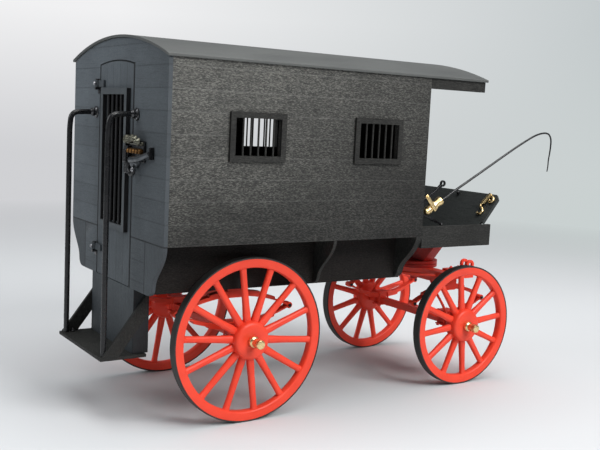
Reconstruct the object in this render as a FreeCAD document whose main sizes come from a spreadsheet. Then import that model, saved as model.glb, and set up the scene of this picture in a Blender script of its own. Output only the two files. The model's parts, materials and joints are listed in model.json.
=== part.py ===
"""Model of a horse-drawn jail wagon at one twelfth of full size, in millimetres.

The X axis runs forward, Y to the wagon's left and Z up, with the ground at zero.
Heights are measured from the ground and lengths from the rear face of the rear panel.
"""
import FreeCAD
import Part
import Sketcher
import math
import os

from FreeCAD import Rotation, Vector

doc = FreeCAD.newDocument("JailWagon")
sheet = doc.addObject("Spreadsheet::Sheet", "Sizes")
nodes = []


class Size:
    """A size from the sheet, or sums of such sizes, as a formula with its number."""

    def __init__(self, text, number):
        self.text = text
        self.number = number

    def __add__(self, other):
        other = as_size(other)
        return Size(f"({self.text} + {other.text})", self.number + other.number)

    def __sub__(self, other):
        other = as_size(other)
        return Size(f"({self.text} - {other.text})", self.number - other.number)

    def __mul__(self, other):
        other = as_size(other)
        return Size(f"({self.text} * {other.text})", self.number * other.number)

    def __truediv__(self, other):
        other = as_size(other)
        return Size(f"({self.text} / {other.text})", self.number / other.number)

    def __neg__(self):
        return Size(f"(-1 * {self.text})", -self.number)

    def __radd__(self, other):
        return as_size(other) + self

    def __rsub__(self, other):
        return as_size(other) - self

    def __rmul__(self, other):
        return as_size(other) * self


def as_size(thing):
    """Bare numbers are only used as factors, halves and zero."""
    return thing if isinstance(thing, Size) else Size(str(thing), thing)


def cell(alias, number, meaning):
    """Write one driving dimension into the sheet and give it back as a Size."""
    row = cell.next_row
    cell.next_row += 1
    sheet.set(f"A{row}", meaning)
    sheet.set(f"B{row}", str(number))
    sheet.setAlias(f"B{row}", alias)
    return Size(f"Sizes.{alias}", number)


cell.next_row = 1

# ---- driving dimensions ------------------------------------------------------------------

step_reach = cell("step_reach", 20.6, "rear step beyond the rear panel")
side_length = cell("side_length", 186.2, "side panels, rear face to front edge")
whip_reach = cell("whip_reach", 125.5, "whip's foremost point ahead of the side panels")
body_half = cell("body_half", 73.2, "half the width over the side panels")
sill_height = cell("sill_height", 111.4, "lower edge of the side panels")
eave_height = cell("eave_height", 215.8, "top of the side panels")
roof_rise = cell("roof_rise", 12.4, "rise of the roof's vault above the eaves")
roof_thick = cell("roof_thick", 1.6, "roof sheet")
roof_lip = cell("roof_lip", 1.4, "roof beyond the walls")
canopy_reach = cell("canopy_reach", 48.2, "canopy ahead of the side panels")
header_depth = cell("header_depth", 7.1, "boards under the canopy's edge")
wall = cell("wall", 2.4, "side, end and floor boards")
panel_gap = cell("panel_gap", 0.1, "arched board tops below the roof sheet")

overhang = cell("overhang", 21.2, "side panels beyond the lower body")
floor_height = cell("floor_height", 80.8, "underside of the lower body")
skirt_lap = cell("skirt_lap", 4.0, "rear ogee boards over the lower body")
ogee_shelf = cell("ogee_shelf", 9.0, "drop of the ogee boards at their outer edge")
ogee_foot = cell("ogee_foot", 6.0, "ogee boards beyond the lower body")
ogee_flat = cell("ogee_flat", 0.2, "flat between the ogee's hollow and its round")
ogee_round = cell("ogee_round", 4.0, "radius of the ogee's rounded corners")
mid_bracket_place = cell("mid_bracket_place", 114.8, "rear face of the middle ogee boards")
front_bracket_thick = cell("front_bracket_thick", 4.8, "front ogee boards")

bulkhead_back = cell("bulkhead_back", 22.8, "bulkhead behind the side panels' front edge")
seat_height = cell("seat_height", 136.0, "underside of the seat board")
toe_floor_height = cell("toe_floor_height", 103.7, "underside of the driver's floor")
toe_side_height = cell("toe_side_height", 118.3, "top of the boards beside the driver's feet")
toe_reach = cell("toe_reach", 62.7, "those boards ahead of the side panels")
dash_back = cell("dash_back", 17.7, "foot of the dash board behind their front ends")
dash_lean = cell("dash_lean", 39.2, "dash board's lean, degrees from upright")
dash_length = cell("dash_length", 40.2, "dash board, up its slope")
dash_thick = cell("dash_thick", 2.0, "dash board")
dash_corner = cell("dash_corner", 3.5, "corner cut off the dash board")
dash_foot = cell("dash_foot", 1.4, "dash board's rear edge above the floor, where it leans on its front edge")

window_width = cell("window_width", 30.4, "side windows")
window_sill = cell("window_sill", 162.6, "lower edge of the side windows")
window_tall = cell("window_tall", 21.6, "side windows")
window_rear_place = cell("window_rear_place", 41.7, "rear edge of the rear window")
window_front_back = cell("window_front_back", 56.7, "front window's rear edge, from the front")
grille_rim = cell("grille_rim", 3.4, "face width of the window grilles' frames")
grille_proud = cell("grille_proud", 1.6, "window grilles' thickness")
bar_radius = cell("bar_radius", 0.6, "window bars")

door_half = cell("door_half", 27.0, "half the doorway's width")
door_corner = cell("door_corner", 212.7, "doorway's height at its corners")
door_rise = cell("door_rise", 2.4, "rise of the doorway's arched head")
door_gap = cell("door_gap", 0.4, "clearance round the door")
door_thick = cell("door_thick", 2.0, "door boards")
hatch_left = cell("hatch_left", 15.4, "barred opening's left edge")
hatch_right = cell("hatch_right", -18.2, "barred opening's right edge")
hatch_low = cell("hatch_low", 117.0, "barred opening's lower edge")
hatch_high = cell("hatch_high", 194.4, "barred opening's upper edge")
hatch_rim = cell("hatch_rim", 3.8, "face width of the door grille's frame")
hatch_proud = cell("hatch_proud", 2.6, "door grille's thickness")
hatch_bar_radius = cell("hatch_bar_radius", 0.9, "door bars")
hinge_offset = cell("hinge_offset", 1.6, "hinge pins outside the rear panel")
hinge_beside = cell("hinge_beside", 0.9, "hinge pins beside the doorway")
hinge_low = cell("hinge_low", 96.0, "lower hinge knuckle's foot")
hinge_high = cell("hinge_high", 199.0, "upper hinge knuckle's foot")
knuckle_tall = cell("knuckle_tall", 4.0, "hinge knuckles")
knuckle_radius = cell("knuckle_radius", 1.3, "hinge knuckles")
pintle_radius = cell("pintle_radius", 0.65, "hinge pins")
pin_clearance = cell("pin_clearance", 0.06, "radial clearance on pins and spindles")
strap_lap = cell("strap_lap", 1.2, "hinge straps over the door grille's frame")
pintle_head = cell("pintle_head", 0.8, "heads of the hinge pins")
play = cell("play", 0.2, "clearance between moving faces")

rail_half = cell("rail_half", 32.3, "grab rails from the middle")
rail_place = cell("rail_place", 17.5, "grab rails behind the rear panel")
rail_height = cell("rail_height", 183.2, "grab rails' upper ends")
rail_radius = cell("rail_radius", 1.2, "grab rails")
rail_bend = cell("rail_bend", 5.5, "bend of the grab rails")
flange_radius = cell("flange_radius", 3.2, "flanges of the grab rails")
flange_thick = cell("flange_thick", 2.0, "flanges of the grab rails")
foot_radius = cell("foot_radius", 1.6, "feet of the grab rails")
foot_tall = cell("foot_tall", 1.6, "feet of the grab rails")

step_height = cell("step_height", 40.0, "underside of the rear step")
step_thick = cell("step_thick", 2.0, "rear step's board")
step_half = cell("step_half", 36.4, "half the rear step's width")
step_front = cell("step_front", 8.0, "rear step's front edge")
step_box_half = cell("step_box_half", 34.0, "half the width of the box above the step")
step_box_deep = cell("step_box_deep", 10.0, "box above the step")
brace_foot = cell("brace_foot", 10.0, "step brace along the step")
brace_top = cell("brace_top", 78.4, "step brace's upper corner")

wheel_back = cell("wheel_back", 64.2, "rear axle's place")
gear_reach = cell("gear_reach", 59.0, "front axle ahead of the side panels")
rear_radius = cell("rear_radius", 50.8, "rear wheels")
front_radius = cell("front_radius", 43.1, "front wheels")
rear_beside = cell("rear_beside", 7.8, "rear wheels' middle plane beside the lower body")
front_beside = cell("front_beside", 3.4, "front wheels' middle plane beside the lower body")
tyre_width = cell("tyre_width", 6.4, "tyres")
tyre_thick = cell("tyre_thick", 0.9, "tyres")
felloe_deep = cell("felloe_deep", 5.5, "wheel rims, measured along a spoke")
felloe_width = cell("felloe_width", 6.0, "wheel rims, measured along the axle")
hub_radius = cell("hub_radius", 11.7, "hubs")
hub_out = cell("hub_out", 5.8, "hubs outside the wheel's middle plane")
hub_in = cell("hub_in", 5.4, "hubs inside the wheel's middle plane")
spoke_root = cell("spoke_root", 1.7, "spokes' radius at the hub")
spoke_tip = cell("spoke_tip", 1.4, "spokes' radius at the rim")
rear_spokes = cell("rear_spokes", 14, "spokes in a rear wheel")
front_spokes = cell("front_spokes", 12, "spokes in a front wheel")
spindle_radius = cell("spindle_radius", 2.0, "axle spindles")
nut_radius = cell("nut_radius", 3.5, "axle nuts' flanges")
nut_thick = cell("nut_thick", 2.4, "axle nuts' flanges")
cap_radius = cell("cap_radius", 2.9, "axle nuts' caps")
cap_long = cell("cap_long", 7.0, "axle nuts' caps")

axle_thick = cell("axle_thick", 5.0, "axle beams")
spring_width = cell("spring_width", 5.0, "springs")
leaf = cell("leaf", 1.2, "spring leaves")
spring_eye = cell("spring_eye", 2.1, "ends of the springs")
rear_spring_half = cell("rear_spring_half", 40.0, "rear springs, middle to end")
rear_spring_inside = cell("rear_spring_inside", 19.8, "rear springs inside the wheels")
spring_block_tall = cell("spring_block_tall", 3.2, "blocks between the rear springs and the body")
front_spring_half = cell("front_spring_half", 33.0, "front springs, middle to end")
front_spring_inside = cell("front_spring_inside", 17.4, "front springs inside the wheels")
front_spring_tall = cell("front_spring_tall", 24.4, "front springs")
clip_half = cell("clip_half", 5.5, "half the length of the springs' middle clips")
clip_tall = cell("clip_tall", 4.32, "springs' middle clips")

gear_beam_tall = cell("gear_beam_tall", 8.0, "beam across the front springs")
gear_beam_end = cell("gear_beam_end", 4.0, "that beam's ends beyond the middle of the springs")
gear_beam_thick = cell("gear_beam_thick", 10.0, "that beam, fore and aft")
turntable_inside = cell("turntable_inside", 9.0, "turntable plates inside the shaft arms")
turntable_thick = cell("turntable_thick", 2.4, "turntable plates")
king_radius = cell("king_radius", 1.5, "king pin")
king_head = cell("king_head", 2.8, "king pin's nut")
bolster_top = cell("bolster_top", 30.0, "half the body bolster's length at its top")
bolster_inside = cell("bolster_inside", 2.0, "body bolster's foot inside the turntable's edge")
bolster_thick = cell("bolster_thick", 9.2, "body bolster, fore and aft")
bolster_plate = cell("bolster_plate", 3.0, "plate on top of the body bolster")
bolster_plate_half = cell("bolster_plate_half", 17.0, "half that plate, fore and aft")

futchell_inside = cell("futchell_inside", 8.0, "shaft arms inside the front springs")
futchell_width = cell("futchell_width", 8.0, "shaft arms")
futchell_low = cell("futchell_low", 2.0, "shaft arms above the front springs")
futchell_tall = cell("futchell_tall", 7.4, "shaft arms")
futchell_reach = cell("futchell_reach", 26.0, "shaft eyes ahead of the front axle")
eye_radius = cell("eye_radius", 3.6, "shaft eyes")
eye_bore = cell("eye_bore", 1.7, "bore of the shaft eyes")
eye_thick = cell("eye_thick", 2.0, "each ring of a shaft eye")
eye_lift = cell("eye_lift", 2.6, "shaft eyes' middle above the arms")

socket_radius = cell("socket_radius", 2.5, "whip socket")
socket_bore = cell("socket_bore", 1.5, "whip socket's bore")
socket_long = cell("socket_long", 15.0, "whip socket")
socket_height = cell("socket_height", 127.9, "whip socket's foot")
socket_ahead = cell("socket_ahead", 6.2, "whip socket's foot ahead of the side panels")
socket_let_in = cell("socket_let_in", 0.48, "whip socket let into its strap")
whip_slope = cell("whip_slope", 28.4, "whip's slope in degrees")
whip_radius = cell("whip_radius", 0.8, "whip")
whip_sweep = cell("whip_sweep", 60.0, "radius of the whip's gentle bend")
whip_crest = cell("whip_crest", 10.0, "whip's slope in degrees where its end droops")
whip_bend = cell("whip_bend", 9.0, "radius of the whip's drooping end")
whip_lash = cell("whip_lash", 18.0, "lash that hangs from the whip")
strap_width = cell("strap_width", 4.0, "whip socket's strap")
strap_long = cell("strap_long", 22.0, "whip socket's strap")
strap_slope = cell("strap_slope", 42.0, "strap's lean back from upright, in degrees")
strap_ahead = cell("strap_ahead", 10.0, "strap's lower end ahead of the side panels")
strap_foot_height = cell("strap_foot_height", 127.8, "strap's lower end")
lever_thick = cell("lever_thick", 1.6, "brake lever")
lever_height = cell("lever_height", 128.5, "brake lever's pivot")
lever_inside = cell("lever_inside", 12.0, "brake lever inside the side panel")
lever_ring = cell("lever_ring", 2.2, "ring at the top of the brake lever")
lever_ahead = cell("lever_ahead", 3.0, "brake lever's pivot ahead of the seat")
handle_ahead = cell("handle_ahead", 26.3, "brake lever's ring ahead of its pivot")
handle_up = cell("handle_up", 17.1, "brake lever's ring above its pivot")
elbow_ahead = cell("elbow_ahead", 18.4, "brake lever's elbow ahead of its pivot")
elbow_up = cell("elbow_up", 10.3, "brake lever's elbow above its pivot")
pedal_ahead = cell("pedal_ahead", 26.7, "brake lever's pedal end ahead of its pivot")
pedal_down = cell("pedal_down", 11.1, "brake lever's pedal end below its pivot")

scroll_inside = cell("scroll_inside", 8.2, "dash scrolls inside the dash board's ends")
scroll_width = cell("scroll_width", 2.0, "dash scrolls' bars")
scroll_thick = cell("scroll_thick", 1.4, "dash scrolls")
scroll_long = cell("scroll_long", 17.0, "dash scrolls")
latch_height = cell("latch_height", 150.0, "door latch's foot")
latch_tall = cell("latch_tall", 20.0, "door latch")
latch_thick = cell("latch_thick", 1.8, "door latch")
keeper_low = cell("keeper_low", 156.0, "lock keeper's foot")
keeper_tall = cell("keeper_tall", 14.0, "lock keeper")
keeper_width = cell("keeper_width", 10.0, "lock keeper")
keeper_thick = cell("keeper_thick", 3.2, "lock keeper")
handle_reach = cell("handle_reach", 26.0, "lock's slide handle beside the doorway")
handle_end_radius = cell("handle_end_radius", 2.56, "plate at the handle's end")
handle_end_thick = cell("handle_end_thick", 1.6, "plate at the handle's end")

doc.recompute()

# ---- levels and places that follow from them ------------------------------------------------

overall_length = step_reach + side_length + whip_reach
rear = step_reach - overall_length / 2
canopy_length = side_length + canopy_reach
bulkhead_place = side_length - bulkhead_back
toe_length = side_length + toe_reach
dash_place = toe_length - dash_back
window_front_place = side_length - window_front_back
wheel_front = side_length + gear_reach
socket_place = side_length + socket_ahead
strap_foot = side_length + strap_ahead
lower_half = body_half - overhang
skirt_half = lower_half - skirt_lap
ogee_hollow = overhang - ogee_foot - ogee_round - ogee_flat
lever_place = body_half - wall - lever_inside
scroll_place = body_half - scroll_inside
rear_track = lower_half + rear_beside
front_track = lower_half + front_beside
rear_spring_place = rear_track - rear_spring_inside
front_spring_place = front_track - front_spring_inside
gear_beam_half = front_spring_place + gear_beam_end
futchell_place = front_spring_place - futchell_inside
turntable_radius = futchell_place - futchell_width / 2 - turntable_inside
bolster_foot = turntable_radius - bolster_inside
roof_radius = (body_half * body_half + roof_rise * roof_rise) / (2 * roof_rise)
roof_centre = eave_height + roof_rise - roof_radius
door_radius = (door_half * door_half + door_rise * door_rise) / (2 * door_rise)
door_centre = door_corner + door_rise - door_radius
inner_half = body_half - wall
well_half = lower_half - wall
inner_floor = sill_height + wall
side_front = rear + side_length
hinge_x = rear - hinge_offset
hinge_y = door_half + hinge_beside
rear_axle_x = rear + wheel_back
front_axle_x = rear + wheel_front
rear_spring_foot = rear_radius + axle_thick / 2
rear_spring_tall = floor_height - spring_block_tall - rear_spring_foot
front_spring_foot = front_radius + axle_thick / 2
gear_beam_low = front_spring_foot + front_spring_tall
turntable_low = gear_beam_low + gear_beam_tall
turntable_high = turntable_low + turntable_thick + play
bolster_low = turntable_high + turntable_thick
step_top = step_height + step_thick


# ---- plain shapes ---------------------------------------------------------------------------

AXES = {"X": Vector(1, 0, 0), "Y": Vector(0, 1, 0), "Z": Vector(0, 0, 1)}
UPRIGHT = Rotation()
SAME_SPOT = 1e-4
LEAF_SHARES = (1, 0.72, 0.45)
WINDOW_BARS = 5
DOOR_BARS = 4
ALONG = {"X": Rotation(AXES["Y"], 90), "Y": Rotation(AXES["X"], -90), "Z": UPRIGHT}


def bind(thing, **formulas):
    for name, size in formulas.items():
        thing.setExpression(name, as_size(size).text)


def place(thing, x, y, z, turn=UPRIGHT):
    thing.Placement = FreeCAD.Placement(Vector(), turn)
    for name, size in (("x", x), ("y", y), ("z", z)):
        thing.setExpression(f"Placement.Base.{name}", as_size(size).text)
    return thing


def board(name, x, y, z):
    """A square-edged board between the low and high ends of x, y and z."""
    box = doc.addObject("Part::Box", name)
    bind(box, Length=x[1] - x[0], Width=y[1] - y[0], Height=z[1] - z[0])
    return place(box, x[0], y[0], z[0])


def rod(name, axis, ends, centre, radius):
    """A round rod along an axis, its centre given in the two other axes' order."""
    cylinder = doc.addObject("Part::Cylinder", name)
    bind(cylinder, Radius=radius, Height=ends[1] - ends[0])
    spot = list(centre)
    spot.insert("XYZ".index(axis), ends[0])
    return place(cylinder, *spot, turn=ALONG[axis])


def join(name, *shapes):
    fuse = doc.addObject("Part::MultiFuse", name)
    fuse.Shapes = list(shapes)
    fuse.Refine = True
    return fuse


def cut(name, base, *tools):
    removed = doc.addObject("Part::Cut", name)
    removed.Base = base
    removed.Tool = tools[0] if len(tools) == 1 else join(f"{name}_tools", *tools)
    return removed


def shared(name, first, second):
    common = doc.addObject("Part::Common", name)
    common.Base = first
    common.Tool = second
    return common


def mirrored(name, source):
    """The same shape on the other side of the wagon's middle plane."""
    mirror = doc.addObject("Part::Mirroring", name)
    mirror.Source = source
    mirror.Normal = AXES["Y"]
    return mirror


def both_sides(name, source):
    pair = doc.addObject("Part::Compound", name)
    pair.Links = [source, mirrored(f"{name}_other", source)]
    return pair


def node(label, thing):
    thing.Label = label
    nodes.append(thing)
    return thing


def closed_sketch(body, name, plane, corners):
    """A closed polygon on one of the body's planes, its corners held by the sheet's sizes."""
    sketch = body.newObject("Sketcher::SketchObject", name)
    role = f"{plane}_Plane"
    origin = [part for part in body.Origin.OriginFeatures if part.Role == role][0]
    sketch.AttachmentSupport = [(origin, "")]
    sketch.MapMode = "FlatFace"
    points = [Vector(as_size(u).number, as_size(v).number, 0) for u, v in corners]
    count = len(points)
    for number, point in enumerate(points):
        sketch.addGeometry(Part.LineSegment(point, points[(number + 1) % count]), False)
    for number in range(count):
        meeting = Sketcher.Constraint("Coincident", number, 2, (number + 1) % count, 1)
        sketch.addConstraint(meeting)
    for number, (u, v) in enumerate(corners):
        for kind, size in (("DistanceX", as_size(u)), ("DistanceY", as_size(v))):
            rule = Sketcher.Constraint(kind, -1, 1, number, 1, size.number)
            sketch.setExpression(f"Constraints[{sketch.addConstraint(rule)}]", size.text)
    return sketch


def outline(name, plane, corners, low, high, rounded=()):
    """A padded polygon: corners in the plane's two axes, low and high across it.

    rounded lists (corner number, radius) for the edges that are rounded over.
    """
    body = doc.addObject("PartDesign::Body", name)
    pad = body.newObject("PartDesign::Pad", f"{name}_pad")
    pad.Profile = closed_sketch(body, f"{name}_sketch", plane, corners)
    bind(pad, Length=high - low)
    shift = {"XY": (0, 0, low), "XZ": (0, high, 0), "YZ": (low, 0, 0)}[plane]
    place(body, *shift)
    for number, radius in rounded:
        spot = [as_size(size).number for size in corners[number]]
        round_corner(body, plane, spot, radius)
    return body


def round_corner(body, plane, spot, radius):
    """Fillet the edge that stands on the given corner of a padded polygon."""
    across = {"XY": "Z", "XZ": "Y", "YZ": "X"}[plane]
    doc.recompute()
    base = body.Tip
    names = []
    for index, edge in enumerate(base.Shape.Edges):
        first, last = edge.firstVertex().Point, edge.lastVertex().Point
        run = last - first
        if run.Length < SAME_SPOT or abs(abs(run.normalize() * AXES[across]) - 1) > SAME_SPOT:
            continue
        flat = {"XY": (first.x, first.y), "XZ": (first.x, first.z), "YZ": (first.y, first.z)}
        if math.dist(flat[plane], spot) < SAME_SPOT:
            names.append(f"Edge{index + 1}")
    fillet = body.newObject("PartDesign::Fillet", f"{body.Name}_fillet")
    fillet.Base = (base, names)
    bind(fillet, Radius=radius)


# ---- body ---------------------------------------------------------------------------------


def arched_board(name, x, half, low, gap=panel_gap):
    """A board whose top follows the underside of the roof."""
    flat = board(f"{name}_board", x, (-half, half), (low, eave_height + roof_rise))
    reach = (x[0] - wall, x[1] + wall)
    vault = rod(f"{name}_vault", "X", reach, (0, roof_centre), roof_radius - gap)
    return shared(name, flat, vault)


def window_places():
    return (("rear", rear + window_rear_place), ("front", rear + window_front_place))


def side_panels():
    y = (-body_half, -inner_half)
    panel = board("side_board", (rear + wall, side_front), y, (sill_height, eave_height))
    holes = []
    for end, x in window_places():
        z = (window_sill, window_sill + window_tall)
        through = (y[0] - wall, y[1] + wall)
        holes.append(board(f"window_{end}", (x, x + window_width), through, z))
    right = cut("side_panel", panel, *holes)
    node("side_panel_right", right)
    node("side_panel_left", mirrored("side_panel_mirror", right))


def window_grilles():
    """A rim with its bars over each side window, on the panel's outer face."""
    y = (-body_half - grille_proud, -body_half)
    grilles = []
    for end, x in window_places():
        across = (x - grille_rim, x + window_width + grille_rim)
        high = window_sill + window_tall
        rim = board(f"rim_{end}", across, y, (window_sill - grille_rim, high + grille_rim))
        through = (y[0] - wall, y[1] + wall)
        hole = board(f"rim_hole_{end}", (x, x + window_width), through, (window_sill, high))
        pieces = [cut(f"rim_cut_{end}", rim, hole)]
        for number in range(WINDOW_BARS):
            share = (number + 1) / (WINDOW_BARS + 1)
            spot = (x + window_width * share, y[0] + grille_proud / 2)
            span = (window_sill - grille_rim / 2, high + grille_rim / 2)
            pieces.append(rod(f"bar_{end}_{number}", "Z", span, spot, bar_radius))
        grilles.append(join(f"grille_{end}", *pieces))
    right = doc.addObject("Part::Compound", "grilles")
    right.Links = grilles
    node("window_grilles_right", right)
    node("window_grilles_left", mirrored("grilles_mirror", right))


def doorway_shape(name, x, gap, low):
    """A board of the doorway's shape, smaller than it all round by the gap."""
    half = door_half - gap
    flat = board(f"{name}_flat", x, (-half, half), (low, door_corner + door_rise))
    reach = (x[0] - wall, x[1] + wall)
    head = rod(f"{name}_head", "X", reach, (0, door_centre), door_radius - gap)
    return shared(name, flat, head)


def rear_panel():
    x = (rear, rear + wall)
    panel = arched_board("rear_whole", x, body_half, floor_height)
    through = (x[0] - wall, x[1] + wall)
    doorway = doorway_shape("doorway", through, 0, floor_height - wall)
    corner = board("corner", through, (skirt_half, body_half + wall), (0, sill_height))
    node("rear_panel", cut("rear_cut", panel, doorway, corner, mirrored("corner_l", corner)))


def ogee_board(name, x, inner):
    """A board under the side panel whose outer edge is an ogee."""
    foot = lower_half + ogee_foot
    shelf = sill_height - ogee_shelf
    corners = [
        (inner, floor_height),
        (foot, floor_height),
        (foot, shelf),
        (body_half, shelf),
        (body_half, sill_height),
        (inner, sill_height),
    ]
    curves = [(1, ogee_round), (2, ogee_hollow), (3, ogee_round)]
    return outline(name, "YZ", corners, x[0], x[1], curves)


def ogee_boards():
    back = ogee_board("rear_ogee", (rear, rear + wall), skirt_half)
    node("rear_wings", both_sides("rear_ogees", back))
    place_mid = rear + mid_bracket_place
    mid = ogee_board("mid_ogee", (place_mid, place_mid + wall), lower_half)
    node("mid_brackets", both_sides("mid_ogees", mid))
    front = ogee_board("front_ogee", (side_front - front_bracket_thick, side_front), lower_half)
    node("front_brackets", both_sides("front_ogees", front))


def lower_body():
    x = (rear + wall, side_front - wall)
    side = board("lower_side", x, (-lower_half, -well_half), (floor_height, sill_height))
    node("lower_side_boards", both_sides("lower_sides", side))
    across = (-well_half, well_half)
    node("cabin_floor", board("floor", x, across, (floor_height, floor_height + wall)))
    ledge_x = (rear + wall, side_front)
    ledge = board("bench", ledge_x, (-inner_half, -well_half), (sill_height, inner_floor))
    node("bench_boards", both_sides("benches", ledge))
    front = (side_front - wall, side_front)
    across = (-lower_half, lower_half)
    node("lower_front_board", board("front_low", front, across, (floor_height, sill_height)))


def cabin_bulkhead():
    """The wall between the cell and the driver, let into the well between the benches."""
    x = (rear + bulkhead_place, rear + bulkhead_place + wall)
    upper = arched_board("bulkhead_upper", x, inner_half, inner_floor)
    across = (-well_half, well_half)
    lower = board("bulkhead_lower", x, across, (floor_height + wall, inner_floor))
    node("cabin_bulkhead", join("bulkhead", upper, lower))


def roof():
    x = (rear - roof_lip, rear + canopy_length + roof_lip)
    half = body_half + roof_lip
    above = eave_height + roof_rise + 2 * roof_thick
    sheet_box = board("roof_box", x, (-half, half), (eave_height - wall, above))
    outer = rod("roof_outer", "X", x, (0, roof_centre), roof_radius + roof_thick)
    reach = (x[0] - wall, x[1] + wall)
    inner = rod("roof_inner", "X", reach, (0, roof_centre), roof_radius)
    node("roof", cut("roof_cut", shared("roof_slab", sheet_box, outer), inner))


def canopy():
    """The boards that carry the roof ahead of the side panels."""
    front = rear + canopy_length
    low = eave_height - header_depth
    y = (-body_half, -inner_half)
    header = board("header", (side_front, front - wall), y, (low, eave_height))
    node("canopy_header_rails", both_sides("headers", header))
    bow = arched_board("bow_whole", (front - wall, front), body_half, low)
    reach = (front - 2 * wall, front + wall)
    under = rod("bow_under", "X", reach, (0, roof_centre), roof_radius - header_depth)
    node("canopy_front_bow", cut("bow", bow, under))


def driver_place():
    """The seat between the side panels, and the floor and boards at the driver's feet."""
    across = (-inner_half, inner_half)
    seat = (rear + bulkhead_place + wall, side_front)
    node("driver_seat", board("seat", seat, across, (seat_height, seat_height + wall)))
    riser = (side_front - wall, side_front)
    node("seat_riser", board("riser", riser, across, (inner_floor, seat_height)))
    front = rear + toe_length
    along = (side_front, front)
    y = (-body_half, -inner_half)
    side = board("toe_side", along, y, (toe_floor_height, toe_side_height))
    node("toe_side_boards", both_sides("toe_sides", side))
    node("toe_floor", board("toe", along, across, (toe_floor_height, toe_floor_height + wall)))


def dash_turn():
    return Rotation(AXES["Y"], dash_lean.number)


def lean_forward(thing):
    """Stand a piece, drawn upright at the origin, on the foot of the dash board."""
    foot_x = rear + dash_place
    foot_z = toe_floor_height + wall + dash_foot
    place(thing, foot_x, 0, foot_z, turn=dash_turn())
    thing.setExpression("Placement.Rotation.Angle", dash_lean.text)
    return thing


def dash_board():
    """The leaning board in front of the driver's feet, wider above the side boards."""
    inside = inner_half - panel_gap
    rise = toe_side_height - toe_floor_height - wall
    step = rise / math.cos(math.radians(dash_lean.number)) + panel_gap
    corners = [
        (-inside, 0),
        (inside, 0),
        (inside, step),
        (body_half, step),
        (body_half, dash_length - dash_corner),
        (body_half - dash_corner, dash_length),
        (dash_corner - body_half, dash_length),
        (-body_half, dash_length - dash_corner),
        (-body_half, step),
        (-inside, step),
    ]
    node("dash_board", lean_forward(outline("dash", "YZ", corners, as_size(0), dash_thick)))


def dash_scroll(side, name):
    """A brass scroll on the rear face of the dash: a bar with a curl at each end."""
    middle = side * scroll_place
    x = (-scroll_thick, as_size(0))
    top = dash_length - wall
    across = (middle - scroll_width / 2, middle + scroll_width / 2)
    bar = board(f"{name}_bar", x, across, (top - scroll_long, top))
    curl_spot = (middle + side * scroll_width, top - 2 * scroll_width)
    curl = rod(f"{name}_curl", "X", x, curl_spot, scroll_width)
    tail_spot = (middle - side * scroll_width, top - scroll_long + scroll_width)
    tail = rod(f"{name}_tail", "X", x, tail_spot, scroll_width)
    return lean_forward(join(name, bar, curl, tail))


def dash_scrolls():
    pair = doc.addObject("Part::Compound", "scrolls")
    pair.Links = [dash_scroll(-1, "scroll_right"), dash_scroll(1, "scroll_left")]
    node("dash_scrolls", pair)


# ---- door ---------------------------------------------------------------------------------


def rear_door():
    x = (rear, rear + door_thick)
    leaf_board = doorway_shape("door_leaf", x, door_gap, floor_height + door_gap)
    through = (x[0] - wall, x[1] + wall)
    hole = board("hatch", through, (hatch_right, hatch_left), (hatch_low, hatch_high))
    node("rear_door", cut("door", leaf_board, hole))


def door_grille():
    """The frame on the door's outer face, with its round bars."""
    x = (rear - hatch_proud, rear)
    y = (hatch_right - hatch_rim, hatch_left + hatch_rim)
    frame = board("hatch_frame", x, y, (hatch_low - hatch_rim, hatch_high + hatch_rim))
    through = (x[0] - wall, x[1] + wall)
    hole = board("hatch_hole", through, (hatch_right, hatch_left), (hatch_low, hatch_high))
    pieces = [cut("hatch_rim_cut", frame, hole)]
    for number in range(DOOR_BARS):
        share = (number + 1) / (DOOR_BARS + 1)
        across = hatch_right + (hatch_left - hatch_right) * share
        span = (hatch_low - hatch_rim / 2, hatch_high + hatch_rim / 2)
        spot = (rear - hatch_proud / 2, across)
        pieces.append(rod(f"door_bar_{number}", "Z", span, spot, hatch_bar_radius))
    node("door_grille", join("door_grille_frame", *pieces))


def door_hinges():
    """Straps with knuckles on the door, and pins on plates beside the doorway."""
    straps = []
    pintles = []
    for end, foot in (("low", hinge_low), ("high", hinge_high)):
        z = (foot, foot + knuckle_tall)
        knuckle = rod(f"knuckle_{end}", "Z", z, (hinge_x, hinge_y), knuckle_radius)
        y = (hatch_left + hatch_rim - strap_lap, hinge_y)
        strap = board(f"strap_{end}", (hinge_x + play, rear), y, z)
        bore_z = (z[0] - wall, z[1] + wall)
        bore = rod(f"bore_{end}", "Z", bore_z, (hinge_x, hinge_y), pintle_radius + pin_clearance)
        edge = (door_half - door_gap, hinge_y + wall)
        free = board(f"strap_free_{end}", (rear - play, rear + wall), edge, bore_z)
        straps.append(cut(f"hinge_strap_{end}", join(f"leaf_{end}", knuckle, strap), bore, free))
        pin_z = (z[0] - play, z[1] + play)
        pin = rod(f"pin_{end}", "Z", pin_z, (hinge_x, hinge_y), pintle_radius)
        head_z = (z[1] + play, z[1] + play + pintle_head)
        head = rod(f"head_{end}", "Z", head_z, (hinge_x, hinge_y), knuckle_radius)
        arm_z = (z[0] - play - hinge_offset, z[0] - play)
        arm_y = (hinge_y - knuckle_radius / 2, hinge_y + knuckle_radius)
        arm = board(f"arm_{end}", (hinge_x - knuckle_radius, rear), arm_y, arm_z)
        plate_y = (hinge_y - knuckle_radius / 2, hinge_y + 2 * knuckle_radius)
        plate = board(f"plate_{end}", (rear - play, rear), plate_y, (arm_z[0] - wall, z[0] - play))
        pintles.append(join(f"pintle_{end}", pin, head, arm, plate))
    pair = doc.addObject("Part::Compound", "straps")
    pair.Links = straps
    node("door_straps", pair)
    pair = doc.addObject("Part::Compound", "pintles")
    pair.Links = pintles
    node("hinge_pintles", pair)


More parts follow.
